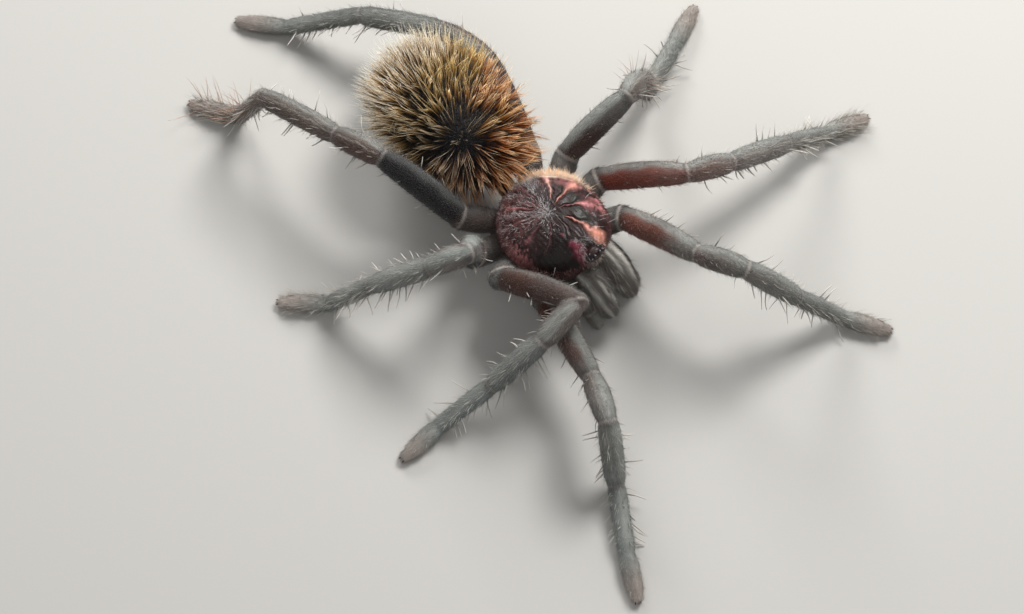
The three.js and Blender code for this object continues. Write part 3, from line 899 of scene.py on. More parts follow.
# more bristles in single places: a fan round the far end of one knee, tall ones along the back of one foot,
# pale ones combed down the sides of some feet, and a brush over the ends of the jaws
feet = ("metatarsus", "tarsus")
jaws = ("chelicera",)
bristleKeys = ("limb", "kinds", "count", "t", "angles", "length", "radius", "lift", "tip", "root")
bristlePlaces = (
    ("leg_left_3", ("patella",), 34, (0.5, 1.0), (0, 180), (2.6, 4.3), 0.07, (45, 78), "e2d3c6", "a88a7a"),
    ("leg_right_4", feet, 30, (0.05, 0.95), (0, 75), (2.8, 5.0), 0.06, (50, 84), "dcb08f", "a06c50"),
    ("leg_right_4", feet, 160, (0.0, 0.9), (10, 120), (1.8, 3.2), 0.045, (10, 30), "e6e0d4", "b5afa4"),
    ("leg_right_3", feet, 150, (0.0, 0.9), (20, 130), (1.2, 2.6), 0.042, (10, 38), "e6e0d4", "b5afa4"),
    ("leg_left_2", feet, 220, (0.0, 0.9), (20, 150), (1.3, 3.0), 0.042, (15, 48), "e6e0d4", "b5afa4"),
    ("leg_left_1", feet, 110, (0.1, 0.9), (30, 140), (1.0, 2.0), 0.04, (10, 38), "d6cfc4", "a8a298"),
    ("chelicera_left", jaws, 130, (0.3, 1.0), (0, 180), (0.9, 2.1), 0.035, (8, 34), "d9d3c8", "96908a"),
    # the right jaw's bristles are darker, as painted shade
    ("chelicera_right", jaws, 130, (0.3, 1.0), (0, 180), (0.9, 2.1), 0.035, (8, 34), "c4beb4", "857f79"),
)


def rodSurface(part, t, angle):
    # The point and the outward direction on a rod at a share of its length and an angle from its back.
    across = rodAcross[part] * rodSide[part][:, None]
    normals = unit(np.sin(angle)[:, None] * across + np.cos(angle)[:, None] * rodBack[part])
    radius = rodRadius(rodRadii[part], t)
    rise = radius * np.cos(angle) * rodTall[part] + bulge(rodArch[part], t)
    roots = (
        rodStart[part] + (t * rodLength[part])[:, None] * rodForward[part]
        + (radius * np.sin(angle))[:, None] * across + rise[:, None] * rodBack[part]
    )
    return roots, normals


def bristleLayer(made, part, t, size, draw):
    # Straight or gently bowed bristles on the rods, each at its share of a rod's length.
    count = len(part)
    angle = draw.choice([-1, 1], count) * np.radians(draw.uniform(*made["angles"], count))
    roots, normals = rodSurface(part, t, angle)
    lift = draw.uniform(*made["lift"], count)
    first, last = (
        layAlong(normals, rodForward[part], lift * share, draw, 0.15) for share in (1, made.get("ease", 0.8))
    )
    shade = draw.uniform(0.65, 1.1, (count, 1))
    length = draw.uniform(*made["length"], count) * size
    radius = made["radius"] * (0.55 + 0.45 * size) * draw.uniform(0.7, 1.1, count)
    stops = [tone(made[end]) * shade for end in ("root", "tip")]
    return strandArrays(roots, first, last, length, radius, 4, stops, limbPlace(roots, part),
                        made.get("taper", 0.5), made.get("crowd", 1.3))


def makeBristles():
    draw = np.random.default_rng(77)
    layers = []
    for made in bristleSets:
        perLeg = dict(zip(legKinds, made["perLeg"]))
        part, t = [], []
        for index, rod in enumerate(rods):
            count = perLeg.get(rod["kind"], 0) if rod["limb"].startswith("leg_") else 0
            part.append(np.full(count, index))
            t.append((np.arange(count) + 2 * draw.random(count)) / (count + 1) * 0.92 + 0.05)
        part = np.concatenate(part)
        size = np.array([segmentLength[kind] for kind in rodKind[part]])
        layers.append(bristleLayer(made, part, np.concatenate(t), size, draw))
    for row in bristlePlaces:
        made = dict(zip(bristleKeys, row))
        count = made["count"]
        own = (rodLimb == limbNames.index(made["limb"])) & np.isin(rodKind, made["kinds"])
        part = draw.choice(np.flatnonzero(own), count)
        layers.append(bristleLayer(made, part, draw.uniform(*made["t"], count), np.ones(count), draw))
    putCoat("legBristles", layers, bpy.data.materials["limbHair"])


abdomenCoat = {
    "tufts": {"clumps": 560, "perMm2": 23, "reach": 0.4, "loose": 0.035, "length": (2.9, 4.6),
              "radius": 0.064, "rings": 4, "taper": 0.5, "gather": 0.84, "stray": 0.42, "hairStray": 0.12,
              "pieces": 2},
    "strays": {"count": 1000, "length": (4.0, 6.2), "radius": 0.045, "rings": 5, "taper": 0.6},
    "wool": {"perMm2": 11, "length": (1.3, 2.3), "radius": 0.034, "rings": 2, "taper": 0.6},
    "velvet": {"perMm2": 24, "length": (0.7, 1.2), "radius": 0.042, "rings": 1, "taper": 0.75},
    "lean": 0.5, "nearLean": 0.45, "nearReach": 3.2, "nearWidth": 2.6, "bellyLean": 0.9,
}


def nearestOf(points, centres, block=2000):
    nearest = np.empty(len(points), int)
    for start in range(0, len(points), block):
        gap = points[start:start + block, None] - centres[None]
        nearest[start:start + block] = (gap ** 2).sum(-1).argmin(1)
    return nearest


def abdomenPlace(points):
    # An unwrap of the egg: longitude round its long axis and the way along it.
    across, along, up = abdomenCoords(points)
    u = np.arctan2(across, up) / (2 * math.pi) + 0.5
    return np.stack([0.01 + 0.97 * u, 0.01 + 0.97 * np.clip(along * 0.5 + 0.5, 0, 1)], -1)


def lyingOut(points, normals, stray, draw, ease=1.0):
    # Hairs lean away from the whorl, most on the rings next to it and on the belly:
    # normal + lean x (the way off the whorl along the skin).
    off = points - abdomenRule(np.array([[whorl["across"], whorl["along"], whorl["up"]]]))
    flat = unit(off - dot(normals, off)[:, None] * normals)
    reach = np.linalg.norm(off, axis=1)
    made = abdomenCoat
    lean = made["lean"] + made["nearLean"] * bell(reach - made["nearReach"], made["nearWidth"])
    lean = lean + made["bellyLean"] * ramp(-abdomenCoords(points)[2], 0.1, 0.8)
    lean = lean * ramp(reach, 0.0, 1.6) * ease
    return unit(normals + lean[:, None] * flat + stray * draw.normal(size=normals.shape))


def whorlField(points):
    # A bell round the whorl.
    across, along, up = abdomenCoords(points)
    away = (across - whorl["across"]) ** 2 + (along - whorl["along"]) ** 2
    return np.exp(-(away / whorl["spread"])) * (up > 0)


def makeTufts(skin, own, material, draw):
    # The hairs of a tuft start close together and lean to one shared tip.
    made = abdomenCoat["tufts"]
    perArea = made["clumps"] / (skin["area"] * own).sum()
    sparse = 1 - 0.5 * whorlField(skin["middles"])
    clumpRoots, clumpNormals, _ = scatter(skin, own * sparse * perArea, draw)
    roots, normals, _ = scatter(skin, own * made["perMm2"], draw)
    mine = nearestOf(roots, clumpRoots)
    loose = draw.random(len(roots)) < made["loose"]
    keep = loose | (np.linalg.norm(roots - clumpRoots[mine], axis=1) < made["reach"])
    roots, normals, mine, loose = (values[keep] for values in (roots, normals, mine, loose))
    count = len(roots)
    clumpWay = lyingOut(clumpRoots, clumpNormals, made["stray"], draw)
    across, along, up = abdomenCoords(clumpRoots)
    clumpLength = draw.uniform(*made["length"], len(clumpRoots))
    endwards = 0.9 + 0.15 * ramp(along, 0.3, 0.9) + 0.4 * ramp(-along, 0.4, 0.85)
    clumpLength *= endwards * (1 - 0.45 * ramp(-up, 0.1, 0.8))
    first = lyingOut(roots, normals, made["hairStray"], draw, 0.6)
    length = clumpLength[mine] * draw.uniform(0.7, 1.08, count)
    gather = made["gather"] * draw.uniform(0.7, 1.1, count) * ~loose
    ownEnd = roots + first * length[:, None]
    clumpEnd = clumpRoots[mine] + clumpWay[mine] * length[:, None]
    end = ownEnd + (clumpEnd - ownEnd) * gather[:, None]
    last = 2 * (end - roots) / length[:, None] - first
    shade = draw.uniform(0.6, 1.2, (len(clumpRoots), 1))[mine] * draw.uniform(0.7, 1.2, (count, 1))
    middle, tip = (abdomenTone(clumpRoots, level)[mine] * shade for level in ("middle", "tip"))
    root = bodyTones["root"] + 0 * tip
    stops = [root * 0.7, root * 0.5 + middle * 0.1, middle * 0.62, tip * 0.5 + middle * 0.5, tip * 1.06]
    thick = made["radius"] * (1 + 0.35 * whorlField(roots)) * draw.uniform(0.8, 1.2, count)
    for k in range(made["pieces"]):
        pick = np.arange(k, count, made["pieces"])
        line = (values[pick] for values in (roots, first, last, length, thick))
        tones = [stop[pick] for stop in stops]
        layer = strandArrays(*line, made["rings"], tones, abdomenPlace(roots[pick]), made["taper"])
        putCoat(f"abdomenCoat{k + 1}", [layer], material)


def makeAbdomenCoat(skin):
    # Bristly tufts, long strays and shorter wool over black velvet.
    draw = np.random.default_rng(31)
    own = skin["part"] == abdomenPart
    material = markedMaterial("abdomenHair", 0.42, 0.12, 1500, sheen=0.1)
    makeTufts(skin, own, material, draw)

    made = abdomenCoat["strays"]
    across, along, up = abdomenCoords(skin["middles"])
    wanted = own * skin["area"] * (0.25 + ramp(along, -0.1, 0.8)) * ramp(up, -0.5, 0.1)
    roots, normals, _ = scatter(skin, wanted / skin["area"] * made["count"] / wanted.sum(), draw)
    first = lyingOut(roots, normals, 0.2, draw, 0.7)
    last = lyingOut(roots, normals, 0.3, draw, 1.5)
    shade = draw.uniform(0.8, 1.15, (len(roots), 1))
    middle, tip = (abdomenTone(roots, level) * shade for level in ("middle", "tip"))
    stops = [bodyTones["root"] + 0 * tip, middle, tip, tip]
    strays = evenStrands(made, roots, first, last, stops, abdomenPlace(roots), draw)

    made = abdomenCoat["wool"]
    roots, normals, _ = scatter(skin, own * made["perMm2"] * (1 - 0.85 * whorlField(skin["middles"])), draw)
    middle = abdomenTone(roots, "middle") * draw.uniform(0.1, 0.45, (len(roots), 1))
    first, last = (lyingOut(roots, normals, 0.3, draw) for end in ("first", "last"))
    stops = [bodyTones["root"] + 0 * middle, middle]
    wool = evenStrands(made, roots, first, last, stops, abdomenPlace(roots), draw)
    putCoat("abdomenWool", [wool, strays], material)

    made = abdomenCoat["velvet"]
    roots, normals, _ = scatter(skin, own * made["perMm2"], draw)
    first = lyingOut(roots, normals, 0.3, draw)
    shade = bodyTones["velvet"] * draw.uniform(0.6, 1.6, (len(roots), 1))
    velvet = evenStrands(made, roots, first, first, [shade, shade * 1.6], abdomenPlace(roots), draw)
    putCoat("abdomenVelvet", [velvet], material)


plate = {
    "halfWidth": 8.2, "frontY": -9.2, "rearY": 8.4, "rimHeight": 10.6, "crownRise": 4.0, "bellyDepth": 0.8,
    "frontNarrowing": 0.22, "frontSquareness": 2.6, "headRise": 1.1, "headHalfWidth": 3.4,
    "rimFullness": 0.62, "crownCurve": 1.2, "inset": 0.35, "rows": 120, "columns": 300, "underRows": 14,
    "fovea": (0.0, 0.6),
}
plateMiddle = (plate["frontY"] + plate["rearY"]) / 2
plateHalfLength = (plate["rearY"] - plate["frontY"]) / 2 - plate["inset"]
plateHalfWidth = plate["halfWidth"] - plate["inset"]
# The pale rays that leave the pit: heading from straight ahead, positive to the left, how far it bends on
# the way out, where it starts and ends, its width and the width gained at the end (mm), strength and tone.
rays = (
    (122, 16, 2.3, 6.7, 0.17, 0.3, 1.0, "pale"),
    (97, -3, 1.8, 7.2, 0.15, 0.75, 0.95, "salmon"),
    (66, -12, 2.1, 7.0, 0.12, 0.9, 0.9, "pink"),
    (26, -9, 2.8, 7.0, 0.17, 0.38, 1.0, "salmon"),
    (13, -24, 1.0, 4.9, 0.08, 0.1, 0.5, "ash"),
    (-36, -16, 1.6, 6.4, 0.1, 0.14, 0.5, "dusky"),
    (-80, -2, 1.9, 5.8, 0.15, 0.3, 0.6, "dusky"),
    (-118, 0, 2.2, 6.6, 0.12, 0.3, 0.45, "dusky"),
    (-149, 1, 1.8, 6.0, 0.12, 0.2, 0.85, "pink"),
    (174, 3, 1.9, 6.6, 0.1, 0.35, 0.4, "dusky"),
)
# two coloured swellings beside the eyes and a small spot behind them: place, half sizes, rise, tone, and the
# strength of a painted highlight on it
lobes = (
    ((2.3, -7.0), (1.05, 1.15), 0.34, "peach", 0.8),
    ((-1.5, -6.7), (0.95, 1.75), 0.28, "deepPink", 0.12),
    ((-1.35, -3.4), (0.26, 0.42), 0.06, "crimson", 0),
)
plateTones = toneTable(
    dark="2a1817", greenGrey="2f2f28", brown="261310", pale="d8a59a", salmon="d48f80", pink="bd7878",
    dusky="77474a", peach="de937c", deepPink="732839", rosy="6c4340", cream="fde5cb", hair="f8f3f1",
    orange="f0b884", glow="fbdcd2", ash="8d7d7b", crimson="8c2c40",
)
pinkPatch = {"heading": (35, 118), "share": (0.62, 0.9)}  # a mottled pink field along the left margin


def plateAngles(x, y):
    dx = x - plate["fovea"][0]
    dy = y - plate["fovea"][1]
    return np.hypot(dx, dy), np.degrees(np.arctan2(dx, -dy))


def plateWaves(x, y, scale, seed, rule=waves):
    return rule(np.stack([x, y, 0 * x], -1).reshape(-1, 3), scale, seed).reshape(x.shape)


def rayFields(x, y):
    # How strongly each ray and the furrows beside it pass a point: bells across the ray that widen on the way
    # out and fade at both ends. The way off a ray is the reach times the sine of the angle from it, with a
    # slight waviness.
    reach, heading = plateAngles(x, y)
    for at, bend, start, end, width, fan, strength, toneName in rays:
        out = (reach - start) / (end - start)
        turn = np.radians(heading - at - bend * np.clip(out, 0, 1))
        off = reach * np.sin(turn) + 0.07 * np.sin(reach * 3.1 + at) + 0.03 * np.sin(reach * 8 + at)
        wide = width * (0.5 + 0.5 * ramp(out, 0, 0.25)) + fan * ramp(out, 0.35, 1.0)
        ends = ramp(out, -0.12, 0.12) * (1 - ramp(out, 0.78, 1.1)) * (np.cos(turn) > 0)
        yield ends * bell(off, wide), ends * bell(np.abs(off) - 2 * wide, wide), strength, toneName


def plateSurface(share, around):
    # The plate in polar form: its outline is an ellipse, narrower and squarer in front. The height over the
    # rim is a dome that falls steeply at the edge, with the head standing a little above it.
    c = np.cos(around)
    s = np.sin(around)
    flatness = np.maximum(share, 0) ** (1 / plate["rimFullness"])
    power = plate["frontSquareness"]
    square = np.where(s < 0, (np.abs(c) ** power + np.abs(s) ** power) ** (-1 / power), 1)
    front = np.maximum(-s * flatness, 0)
    narrow = 1 - plate["frontNarrowing"] * front ** 2
    x = share * c * square * narrow * plateHalfWidth
    y = plateMiddle + share * s * square * plateHalfLength
    z = np.sqrt(np.maximum(1 - flatness ** 2, 0)) + 0 * x
    head = bell(x, plate["headHalfWidth"]) * np.minimum(front * 2, 1)
    rise = plate["crownRise"] * z ** plate["crownCurve"] + plate["headRise"] * head * z
    return x, y, z, plate["rimHeight"] + rise - plate["inset"]


def lobeField(lobe, x, y):
    (middleX, middleY), (halfX, halfY), *_ = lobe
    away = np.hypot((x - middleX) / halfX, (y - middleY) / halfY)
    return np.exp(-(away + 0.22 * plateWaves(x, y, 1.1, 30) * away) ** 4)


def plateRelief(x, y, share):
    # Raised rays with furrows beside them, swellings between them, a small cross slit for the pit, the two
    # coloured lobes and fine wrinkles, all fading at the rim.
    reach, heading = plateAngles(x, y)
    wrinkle = plateWaves(x, y, 1.3, 3) + 0.7 * plateWaves(x, y, 0.6, 4)
    slit = np.exp(-(x / 0.65) ** 2 - ((y - plate["fovea"][1]) / 0.22) ** 2)
    relief = 0.045 * wrinkle - 0.15 * slit + 0.15 * ramp(reach, 0.4, 2.2)
    for ridge, furrow, strength, _ in rayFields(x, y):
        relief += (0.16 * ridge - 0.2 * furrow) * strength
    for lobe in lobes:
        relief += lobe[2] * lobeField(lobe, x, y)
    return relief * (1 - ramp(share, 0.93, 1.0))


def plateTone(x, y, share):
    # Nearly black, greener on the left and browner at the front right, with rosy mottling behind and on the
    # right, pink fields at the margin, a cream rear rim, the rays, and the coloured lobes with spots of
    # painted highlight. A painted shade darkens the front right.
    reach, heading = plateAngles(x, y)
    mottle, fine = plateWaves(x, y, 2.4, 9), plateWaves(x, y, 0.8, 10)
    grain, spots = plateWaves(x, y, 0.5, 12, blotches), plateWaves(x, y, 0.8, 16, blotches)
    leftSide = ramp(heading, -10, 20) * (1 - ramp(heading, 110, 140))
    frontRight = ramp(-y, 0.5, 4.0) * ramp(-x, -1.0, 2.0)
    low, high = pinkPatch["heading"]
    field = ramp(heading, low, low + 20) * (1 - ramp(heading, high - 15, high + 10))
    field = field * ramp(share + 0.08 * mottle, *pinkPatch["share"])
    margin = ramp(share + 0.05 * mottle + 0.03 * fine, 0.78, 0.97) * (1 - field)
    behind = (np.cos(np.radians(heading + 130)) * 0.5 + 0.5) ** 2
    rearRight = ramp(-heading, 70, 110) + ramp(heading, 150, 175)
    inside = bell(heading - 132, 20) * ramp(share + 0.06 * grain, 0.5, 0.75)
    blush = bell(heading + 84, 15) * ramp(share + 0.1 * grain, 0.8, 0.92)
    rear = bell(heading - 132, 30) * ramp(share + 0.05 * fine, 0.8, 0.94)
    colour = painted(
        plateTones["dark"], plateTones, greenGrey=ramp(mottle, -0.3, 0.8) * (0.2 + 0.7 * leftSide),
        brown=frontRight * 0.9, pink=field * ramp(fine + 0.6 * grain + mottle, -0.9, 0.7) * 0.8,
        rosy=margin * (0.1 + 0.75 * behind) * (1 - 0.9 * frontRight),
    )
    mottled = rearRight * ramp(spots + 0.6 * grain + 0.4 * mottle, -0.5, 0.6) * 0.55
    colour = blendTone(colour, plateTones["rosy"], mottled)
    colour = blendTone(colour, plateTones["rosy"] * 1.3, inside * ramp(spots + 0.5 * grain, -0.3, 0.5) * 0.8)
    colour = painted(colour, plateTones, pink=blush * 0.7, cream=rear * 0.85)
    for ridge, furrow, strength, toneName in rayFields(x, y):
        level = np.clip(ridge * strength * (0.9 + 0.35 * fine + 0.25 * grain), 0, 1)
        colour = blendTone(colour, plateTones["dark"] * 0.6, furrow * 0.45)
        colour = blendTone(colour, plateTones[toneName], level)
    for lobe in lobes:
        field = lobeField(lobe, x, y)
        colour = blendTone(colour, plateTones[lobe[3]], field * (0.88 + 0.12 * fine))
        # pale spots of painted highlight on the lobes
        colour = blendTone(colour, plateTones["glow"], field * lobe[4] * ramp(spots, -0.1, 0.5))
    # painted shade over the front right, sparing the deep pink lobe and the right margin's blush
    paintedFrontShade = 1 - 0.68 * frontRight * (1 - blush) * (1 - lobeField(lobes[1], x, y))
    return colour * ((1 + 0.14 * fine + 0.12 * grain) * paintedFrontShade)[..., None]


def makePlate():
    around = circle(plate["columns"])[None]
    share = np.linspace(0, 1, plate["rows"])[:, None] ** 0.85 + 0 * around
    x, y, z, height = plateSurface(share, around)
    top = np.stack([x, y, height + plateRelief(x, y, share)], -1)
    under = np.linspace(1, 0, plate["underRows"])[1:, None]
    ux, uy, uz, _ = plateSurface(under, around)
    below = np.stack([ux, uy, plate["rimHeight"] - plate["inset"] - plate["bellyDepth"] * uz], -1)
    corners, faces = closedShell(np.concatenate([top, below]))
    tint = plateTone(x, y, share)
    tint = np.vstack([tint[0, :1], tint[1:].reshape(-1, 3)])
    tint = np.vstack([tint, np.broadcast_to(plateTones["dark"], (len(corners) - len(tint), 3))])
    material = markedMaterial("plateShell", 0.44, 0.2, 1400, 0.75, 4200, sheen=0.03, coat=0.1, gloss=0.22)
    putPiece("backPlate", (corners, faces), material, ["carapace", "eye_mound"], tint)
    print("back plate done")


eyeMound = {"centre": (0, -8.2, 13.3), "halves": (1.45, 1.0, 0.95)}
# which way each eye of the left half looks, and its radius
eyes = {
    "front_middle": ((0.35, -0.62, 0.7), 0.32),
    "front_side": ((0.76, -0.58, 0.29), 0.34),
    "rear_side": ((0.9, 0.06, 0.43), 0.28),
    "rear_middle": ((0.63, 0.12, 0.77), 0.26),
}


def makeEyes():
    material, shader = newMaterial("eyeGlass")
    shades = node(material, "ShaderNodeValToRGB", "Color", {"Fac": noiseOver(material, 1800, 1)})
    for stop, text in zip(shades.node.color_ramp.elements, ("0b0a0c", "2a1d22")):
        stop.color = (*tone(text), 1)
    glass = {"Base Color": shades, "Roughness": 0.06, "Coat Weight": 0.6, "Coat Roughness": 0.03}
    fillInputs(material, shader, glass)
    for place, (look, radius) in eyes.items():
        for side, word in sides:
            centre = np.array(eyeMound["centre"]) + np.array(look) * (side, 1, 1) * eyeMound["halves"]
            name = "eye" + titled(f"{place}_{word}")
            putPiece(name, ballShell(centre, radius, 20, 28), material, [f"eye_{place}_{word}"])
    mound = ballShell(**eyeMound, rows=30, columns=44)
    putPiece("eyeMound", mound, bpy.data.materials["plateShell"], tint=plateTones["dark"])
    print("eyes done")


sternum = {"halfWidth": 4.5, "halfLength": 6.5, "bottom": 4.85, "top": 9.6, "middleY": -0.2}


def sternumRule(ball):
    # A ball pressed flat below, with small scallops where the legs' roots meet it.
    scallop = 1 - 0.05 * np.cos(np.arctan2(ball[..., 0], ball[..., 1]) * 8)
    half = (sternum["top"] - sternum["bottom"]) / 2
    low = np.sign(ball[..., 2]) * np.abs(ball[..., 2]) ** 0.8
    return np.stack([
        ball[..., 0] * scallop * sternum["halfWidth"],
        sternum["middleY"] + ball[..., 1] * scallop * sternum["halfLength"],
        (sternum["top"] + sternum["bottom"]) / 2 + low * half,
    ], -1)


def makeSternum():
    corners, faces = roundShell(sternumRule, 60, 96)
    tint = blendTone(tone("33251f"), tone("54423a"), ramp(waves(corners, 2.0, 6), -0.5, 0.9))
    material = markedMaterial("breastplateHide", 0.55, 0.2, 1500, 0.7, 4800, sheen=0.2)
    putPiece("breastplate", (corners, faces), material, ["sternum"], tint)
    print("breastplate done")


fang = {"length": 3.8, "radii": (0.6, 0.46, 0.06), "bend": 0.7}
fangRoot = {"place": (1.9, -12.9, 3.6), "heading": 186, "pitch": -20}
claw = {"length": 0.55, "radii": (0.1, 0.08, 0.02), "bend": 0.1, "rings": 10, "columns": 8}
clawRoot = {"apart": 0.28, "out": 0.7, "up": 0.25, "droop": 0.35}  # out is a share of the toe's radius


def hookShell(start, forward, back, across, length, radii, bend, rings=22, columns=18):
    # A tapering hook: circles along an arc that rises towards its back and comes down at its tip.
    t = np.linspace(0, 1, rings)[:, None, None]
    around = circle(columns)[None, :, None]
    radius = rodRadius(radii, t) * ((t > 0) & (t < 1))
    return closedShell(
        start + forward * t * length + bulge(back * bend, t)
        + radius * (np.sin(around) * across + np.cos(around) * back)
    )


def makeFangsAndClaws():
    material = markedMaterial("fangHorn", 0.18, 0.25, 1200, 0.1, 3000, coat=0.4)
    for side, word in sides:
        start = np.array(fangRoot["place"]) * (side, 1, 1)
        forward, back = (pointing(side, fangRoot["heading"], fangRoot["pitch"] + more) for more in (0, 90))
        corners, faces = hookShell(start, forward, back, np.cross(forward, back), **fang)
        share = dot(corners - start, forward) / fang["length"]
        tint = blendTone(tone("3a1a14"), tone("0f0b0b"), ramp(share, 0.0, 0.5))
        putPiece("fang" + titled(word), (corners, faces), material, [f"fang_{word}"], tint)
    shells = []
    for rod in rods:
        if rod["kind"] != "tarsus":
            continue
        forward, back, across = rod["forward"], rod["back"], rod["across"]
        tip = rod["start"] + forward * (rod["length"] + rod["radii"][2] * clawRoot["out"])
        for apart in (-clawRoot["apart"], clawRoot["apart"]):
            start = tip + across * apart + back * clawRoot["up"]
            way = unit(forward - back * clawRoot["droop"] + across * apart)
            shells.append(hookShell(start, way, back, across, **claw))
    corners, faces = joinShells(shells)
    corners[:, 2] = np.maximum(corners[:, 2], lowest)
    putPiece("claws", (corners, faces), material, tint=tone("17110f"))
    print("fangs and claws done")


plateHair = {
    "fine": {"tries": 26000, "length": (0.4, 0.95), "radius": 0.018, "lift": (8, 50), "stray": 0.8},
    "star": {"count": 420, "length": (0.35, 0.85), "radius": 0.02, "lift": (6, 40), "stray": 0.5},
    "rear": {"count": 2100, "length": (0.9, 2.7), "radius": 0.036, "lift": (4, 34), "heading": 133,
             "spread": 17, "second": "orange"},
    "brow": {"count": 150, "length": (0.4, 1.0), "radius": 0.028, "lift": (15, 60), "heading": 0,
             "spread": 9, "second": "hair"},
    "fringe": {"count": 2600, "length": (0.5, 1.1), "radius": 0.022, "lift": (0, 30), "stray": 0.3,
               "rings": 2},
    "bristle": {"count": 10, "length": (1.4, 2.3), "radius": 0.026, "lift": (30, 60), "stray": 0.2,
                "rings": 4},
}
plainHair = {"stray": 0.25, "rings": 3, "taper": 0.75}  # where a row of plateHair says nothing else
# headings of the furrows that hold lines of white hairs, and how far out each runs in mm
starArms = (
    (-138, 4.6), (-122, 3.4), (-104, 4.2), (-138, 3.6), (-72, 2.2), (-48, 3.6), (-23, 2.8), (20, 1.4),
    (70, 1.0), (132, 1.8), (148, 3.6), (156, 6.6), (162, 6.4), (168, 5.6), (-160, 3.0),
)


def plateRoots(share, around):
    # Points on the plate and the outward directions there, from two small steps along its surface.
    def at(share, around):
        x, y, z, height = plateSurface(share, around)
        return np.stack([x, y, height + plateRelief(x, y, share)], -1)
    top = at(share, around)
    normal = unit(np.cross(at(share, around + 1e-2) - top, at(share - 1e-2, around) - top))
    return top, np.where(normal[:, 2:] < 0, -normal, normal)


def plateShares(x, y):
    # The share and angle of a place near the plate's middle, where the outline is still close to an ellipse.
    across = x / plateHalfWidth
    along = (y - plateMiddle) / plateHalfLength
    return np.hypot(across, along), np.arctan2(along, across)


def headed(degrees):
    # the level directions of headings
    arm = np.radians(degrees)
    return np.stack([np.sin(arm), -np.cos(arm), 0 * arm], -1)


def plateLayer(name, roots, normals, ways, colour, draw):
    # The hairs' places on the map are an unwrap of the plate: its outline laid flat.
    made = plainHair | plateHair[name]
    lift = draw.uniform(*made["lift"], len(roots))
    first, last = (layAlong(normals, ways, lift * share, draw, made["stray"]) for share in (1, 0.4))
    place = np.stack([0.5 + roots[:, 0] / 18.5, 0.5 + (roots[:, 1] + 0.4) / 19.5], -1)
    return evenStrands(made, roots, first, last, [colour * 0.85, colour * 1.1], place, draw)


def fineHair(draw):
    # Fine whitish hairs lie round the pit, over the right rear and beside the eyes.
    tries = plateHair["fine"]["tries"]
    share = np.sqrt(draw.random(tries)) * 0.98
    roots, normals = plateRoots(share, draw.uniform(0, 2 * math.pi, tries))
    x, y = roots[:, 0], roots[:, 1]
    reach, heading = plateAngles(x, y)
    rearRight = ramp(-heading, 70, 110) + ramp(heading, 150, 175)
    pit = bell(reach, 0.8)
    byEyes = bell(np.hypot(x, y + 7.6) - 1.5, 0.5)
    patch = bell(heading - 157, 8) * ramp(reach, 3.4, 4.6)
    wanted = 0.03 + 0.3 * pit + rearRight * (0.04 + 0.3 * ramp(waves(roots, 1.5, 40), 0.0, 0.8))
    wanted += 0.2 * ramp(share, 0.8, 0.97)
    wanted *= 1 - 0.7 * ramp(-y, 1.5, 4.5)
    wanted += 0.6 * byEyes + 1.2 * patch
    keep = draw.random(tries) < wanted
    pale = 0.9 * pit + 0.9 * rearRight + 1.3 * byEyes + 2.2 * patch
    roots, normals, share, pale = (values[keep] for values in (roots, normals, share, pale))
    ways = np.stack([roots[:, 0] - plate["fovea"][0], roots[:, 1] - plate["fovea"][1], 0 * share], -1)
    whitish = np.clip(0.1 + pale, 0, 1) * draw.random(len(share)) ** 1.3
    colour = blendTone(plateTone(roots[:, 0], roots[:, 1], share) * 1.4, plateTones["hair"], whitish)
    return plateLayer("fine", roots, normals, ways, colour, draw)


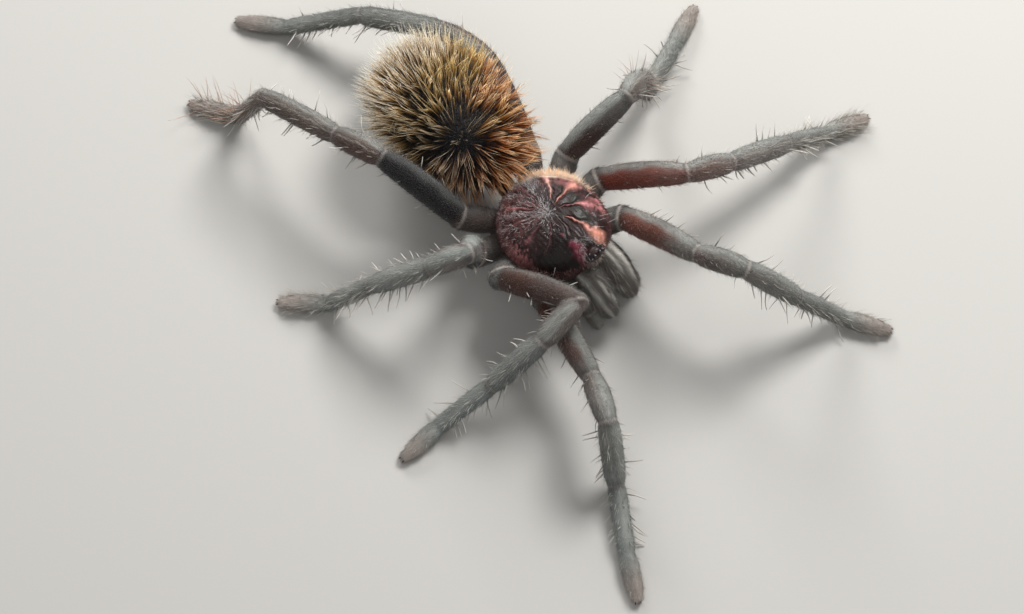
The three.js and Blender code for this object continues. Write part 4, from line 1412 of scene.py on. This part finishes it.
def starHair(draw):
    # Lines of white hairs in the furrows that leave the pit.
    count = plateHair["star"]["count"]
    chosen = np.array(starArms)[draw.integers(len(starArms), size=count)]
    reach = 0.1 + chosen[:, 1] * draw.random(count) ** 1.3
    ways = headed(chosen[:, 0] + draw.normal(0, 5, count))
    places = plateShares(*(middle + reach * way for middle, way in zip(plate["fovea"], ways.T)))
    roots, normals = plateRoots(*places)
    colour = plateTones["hair"] * draw.uniform(0.7, 1.1, (count, 1))
    return plateLayer("star", roots, normals, ways, colour, draw)


def rimHair(name, draw):
    # Cream hairs that lean out over one stretch of the rim.
    made = plateHair[name]
    count = made["count"]
    ways = headed(draw.normal(made["heading"], made["spread"], count))
    roots, normals = plateRoots(draw.uniform(0.9, 1.0, count), np.arctan2(ways[:, 1], ways[:, 0]))
    colour = blendTone(plateTones["cream"], plateTones[made["second"]], draw.random(count) ** 3)
    colour = colour * draw.uniform(0.9, 1.3, (count, 1))
    return plateLayer(name, roots, normals, ways, colour, draw)


def fringeHair(draw):
    # A short fringe hangs all round the rim, creamy behind.
    count = plateHair["fringe"]["count"]
    roots, normals = plateRoots(draw.uniform(0.9, 1.0, count), draw.uniform(0, 2 * math.pi, count))
    ways = roots * (1, 1, 0) - (0, 0, 4)
    creamy = bell(plateAngles(roots[:, 0], roots[:, 1])[1] - 132, 30)
    colour = blendTone(plateTones["rosy"], plateTones["cream"], creamy) * draw.uniform(0.8, 1.4, (count, 1))
    return plateLayer("fringe", roots, normals, ways, colour, draw)


def foreheadBristles(draw):
    count = plateHair["bristle"]["count"]
    roots, normals = plateRoots(draw.uniform(0.6, 0.97, count), draw.uniform(math.pi, 2 * math.pi, count))
    ways = roots * (0.4, 0, 0) - (0, 1, 0)
    colour = plateTones["hair"] * draw.uniform(0.7, 1.1, (count, 1))
    return plateLayer("bristle", roots, normals, ways, colour, draw)


def makePlateHair():
    draw = np.random.default_rng(55)
    layers = [fineHair(draw), starHair(draw), rimHair("rear", draw), rimHair("brow", draw)]
    layers += [fringeHair(draw), foreheadBristles(draw)]
    putCoat("plateCoat", layers, markedMaterial("plateHair", 0.5, 0.1, 2500))


makeCamera()
makeStudio()
for light in lights:
    makeLight(**light)
print("camera and lights done")
skin = makeSkin()
makePlate()
makeEyes()
makeSternum()
makeFangsAndClaws()
makeLimbCoat(skin)
makeBristles()
makeAbdomenCoat(skin)
makePlateHair()
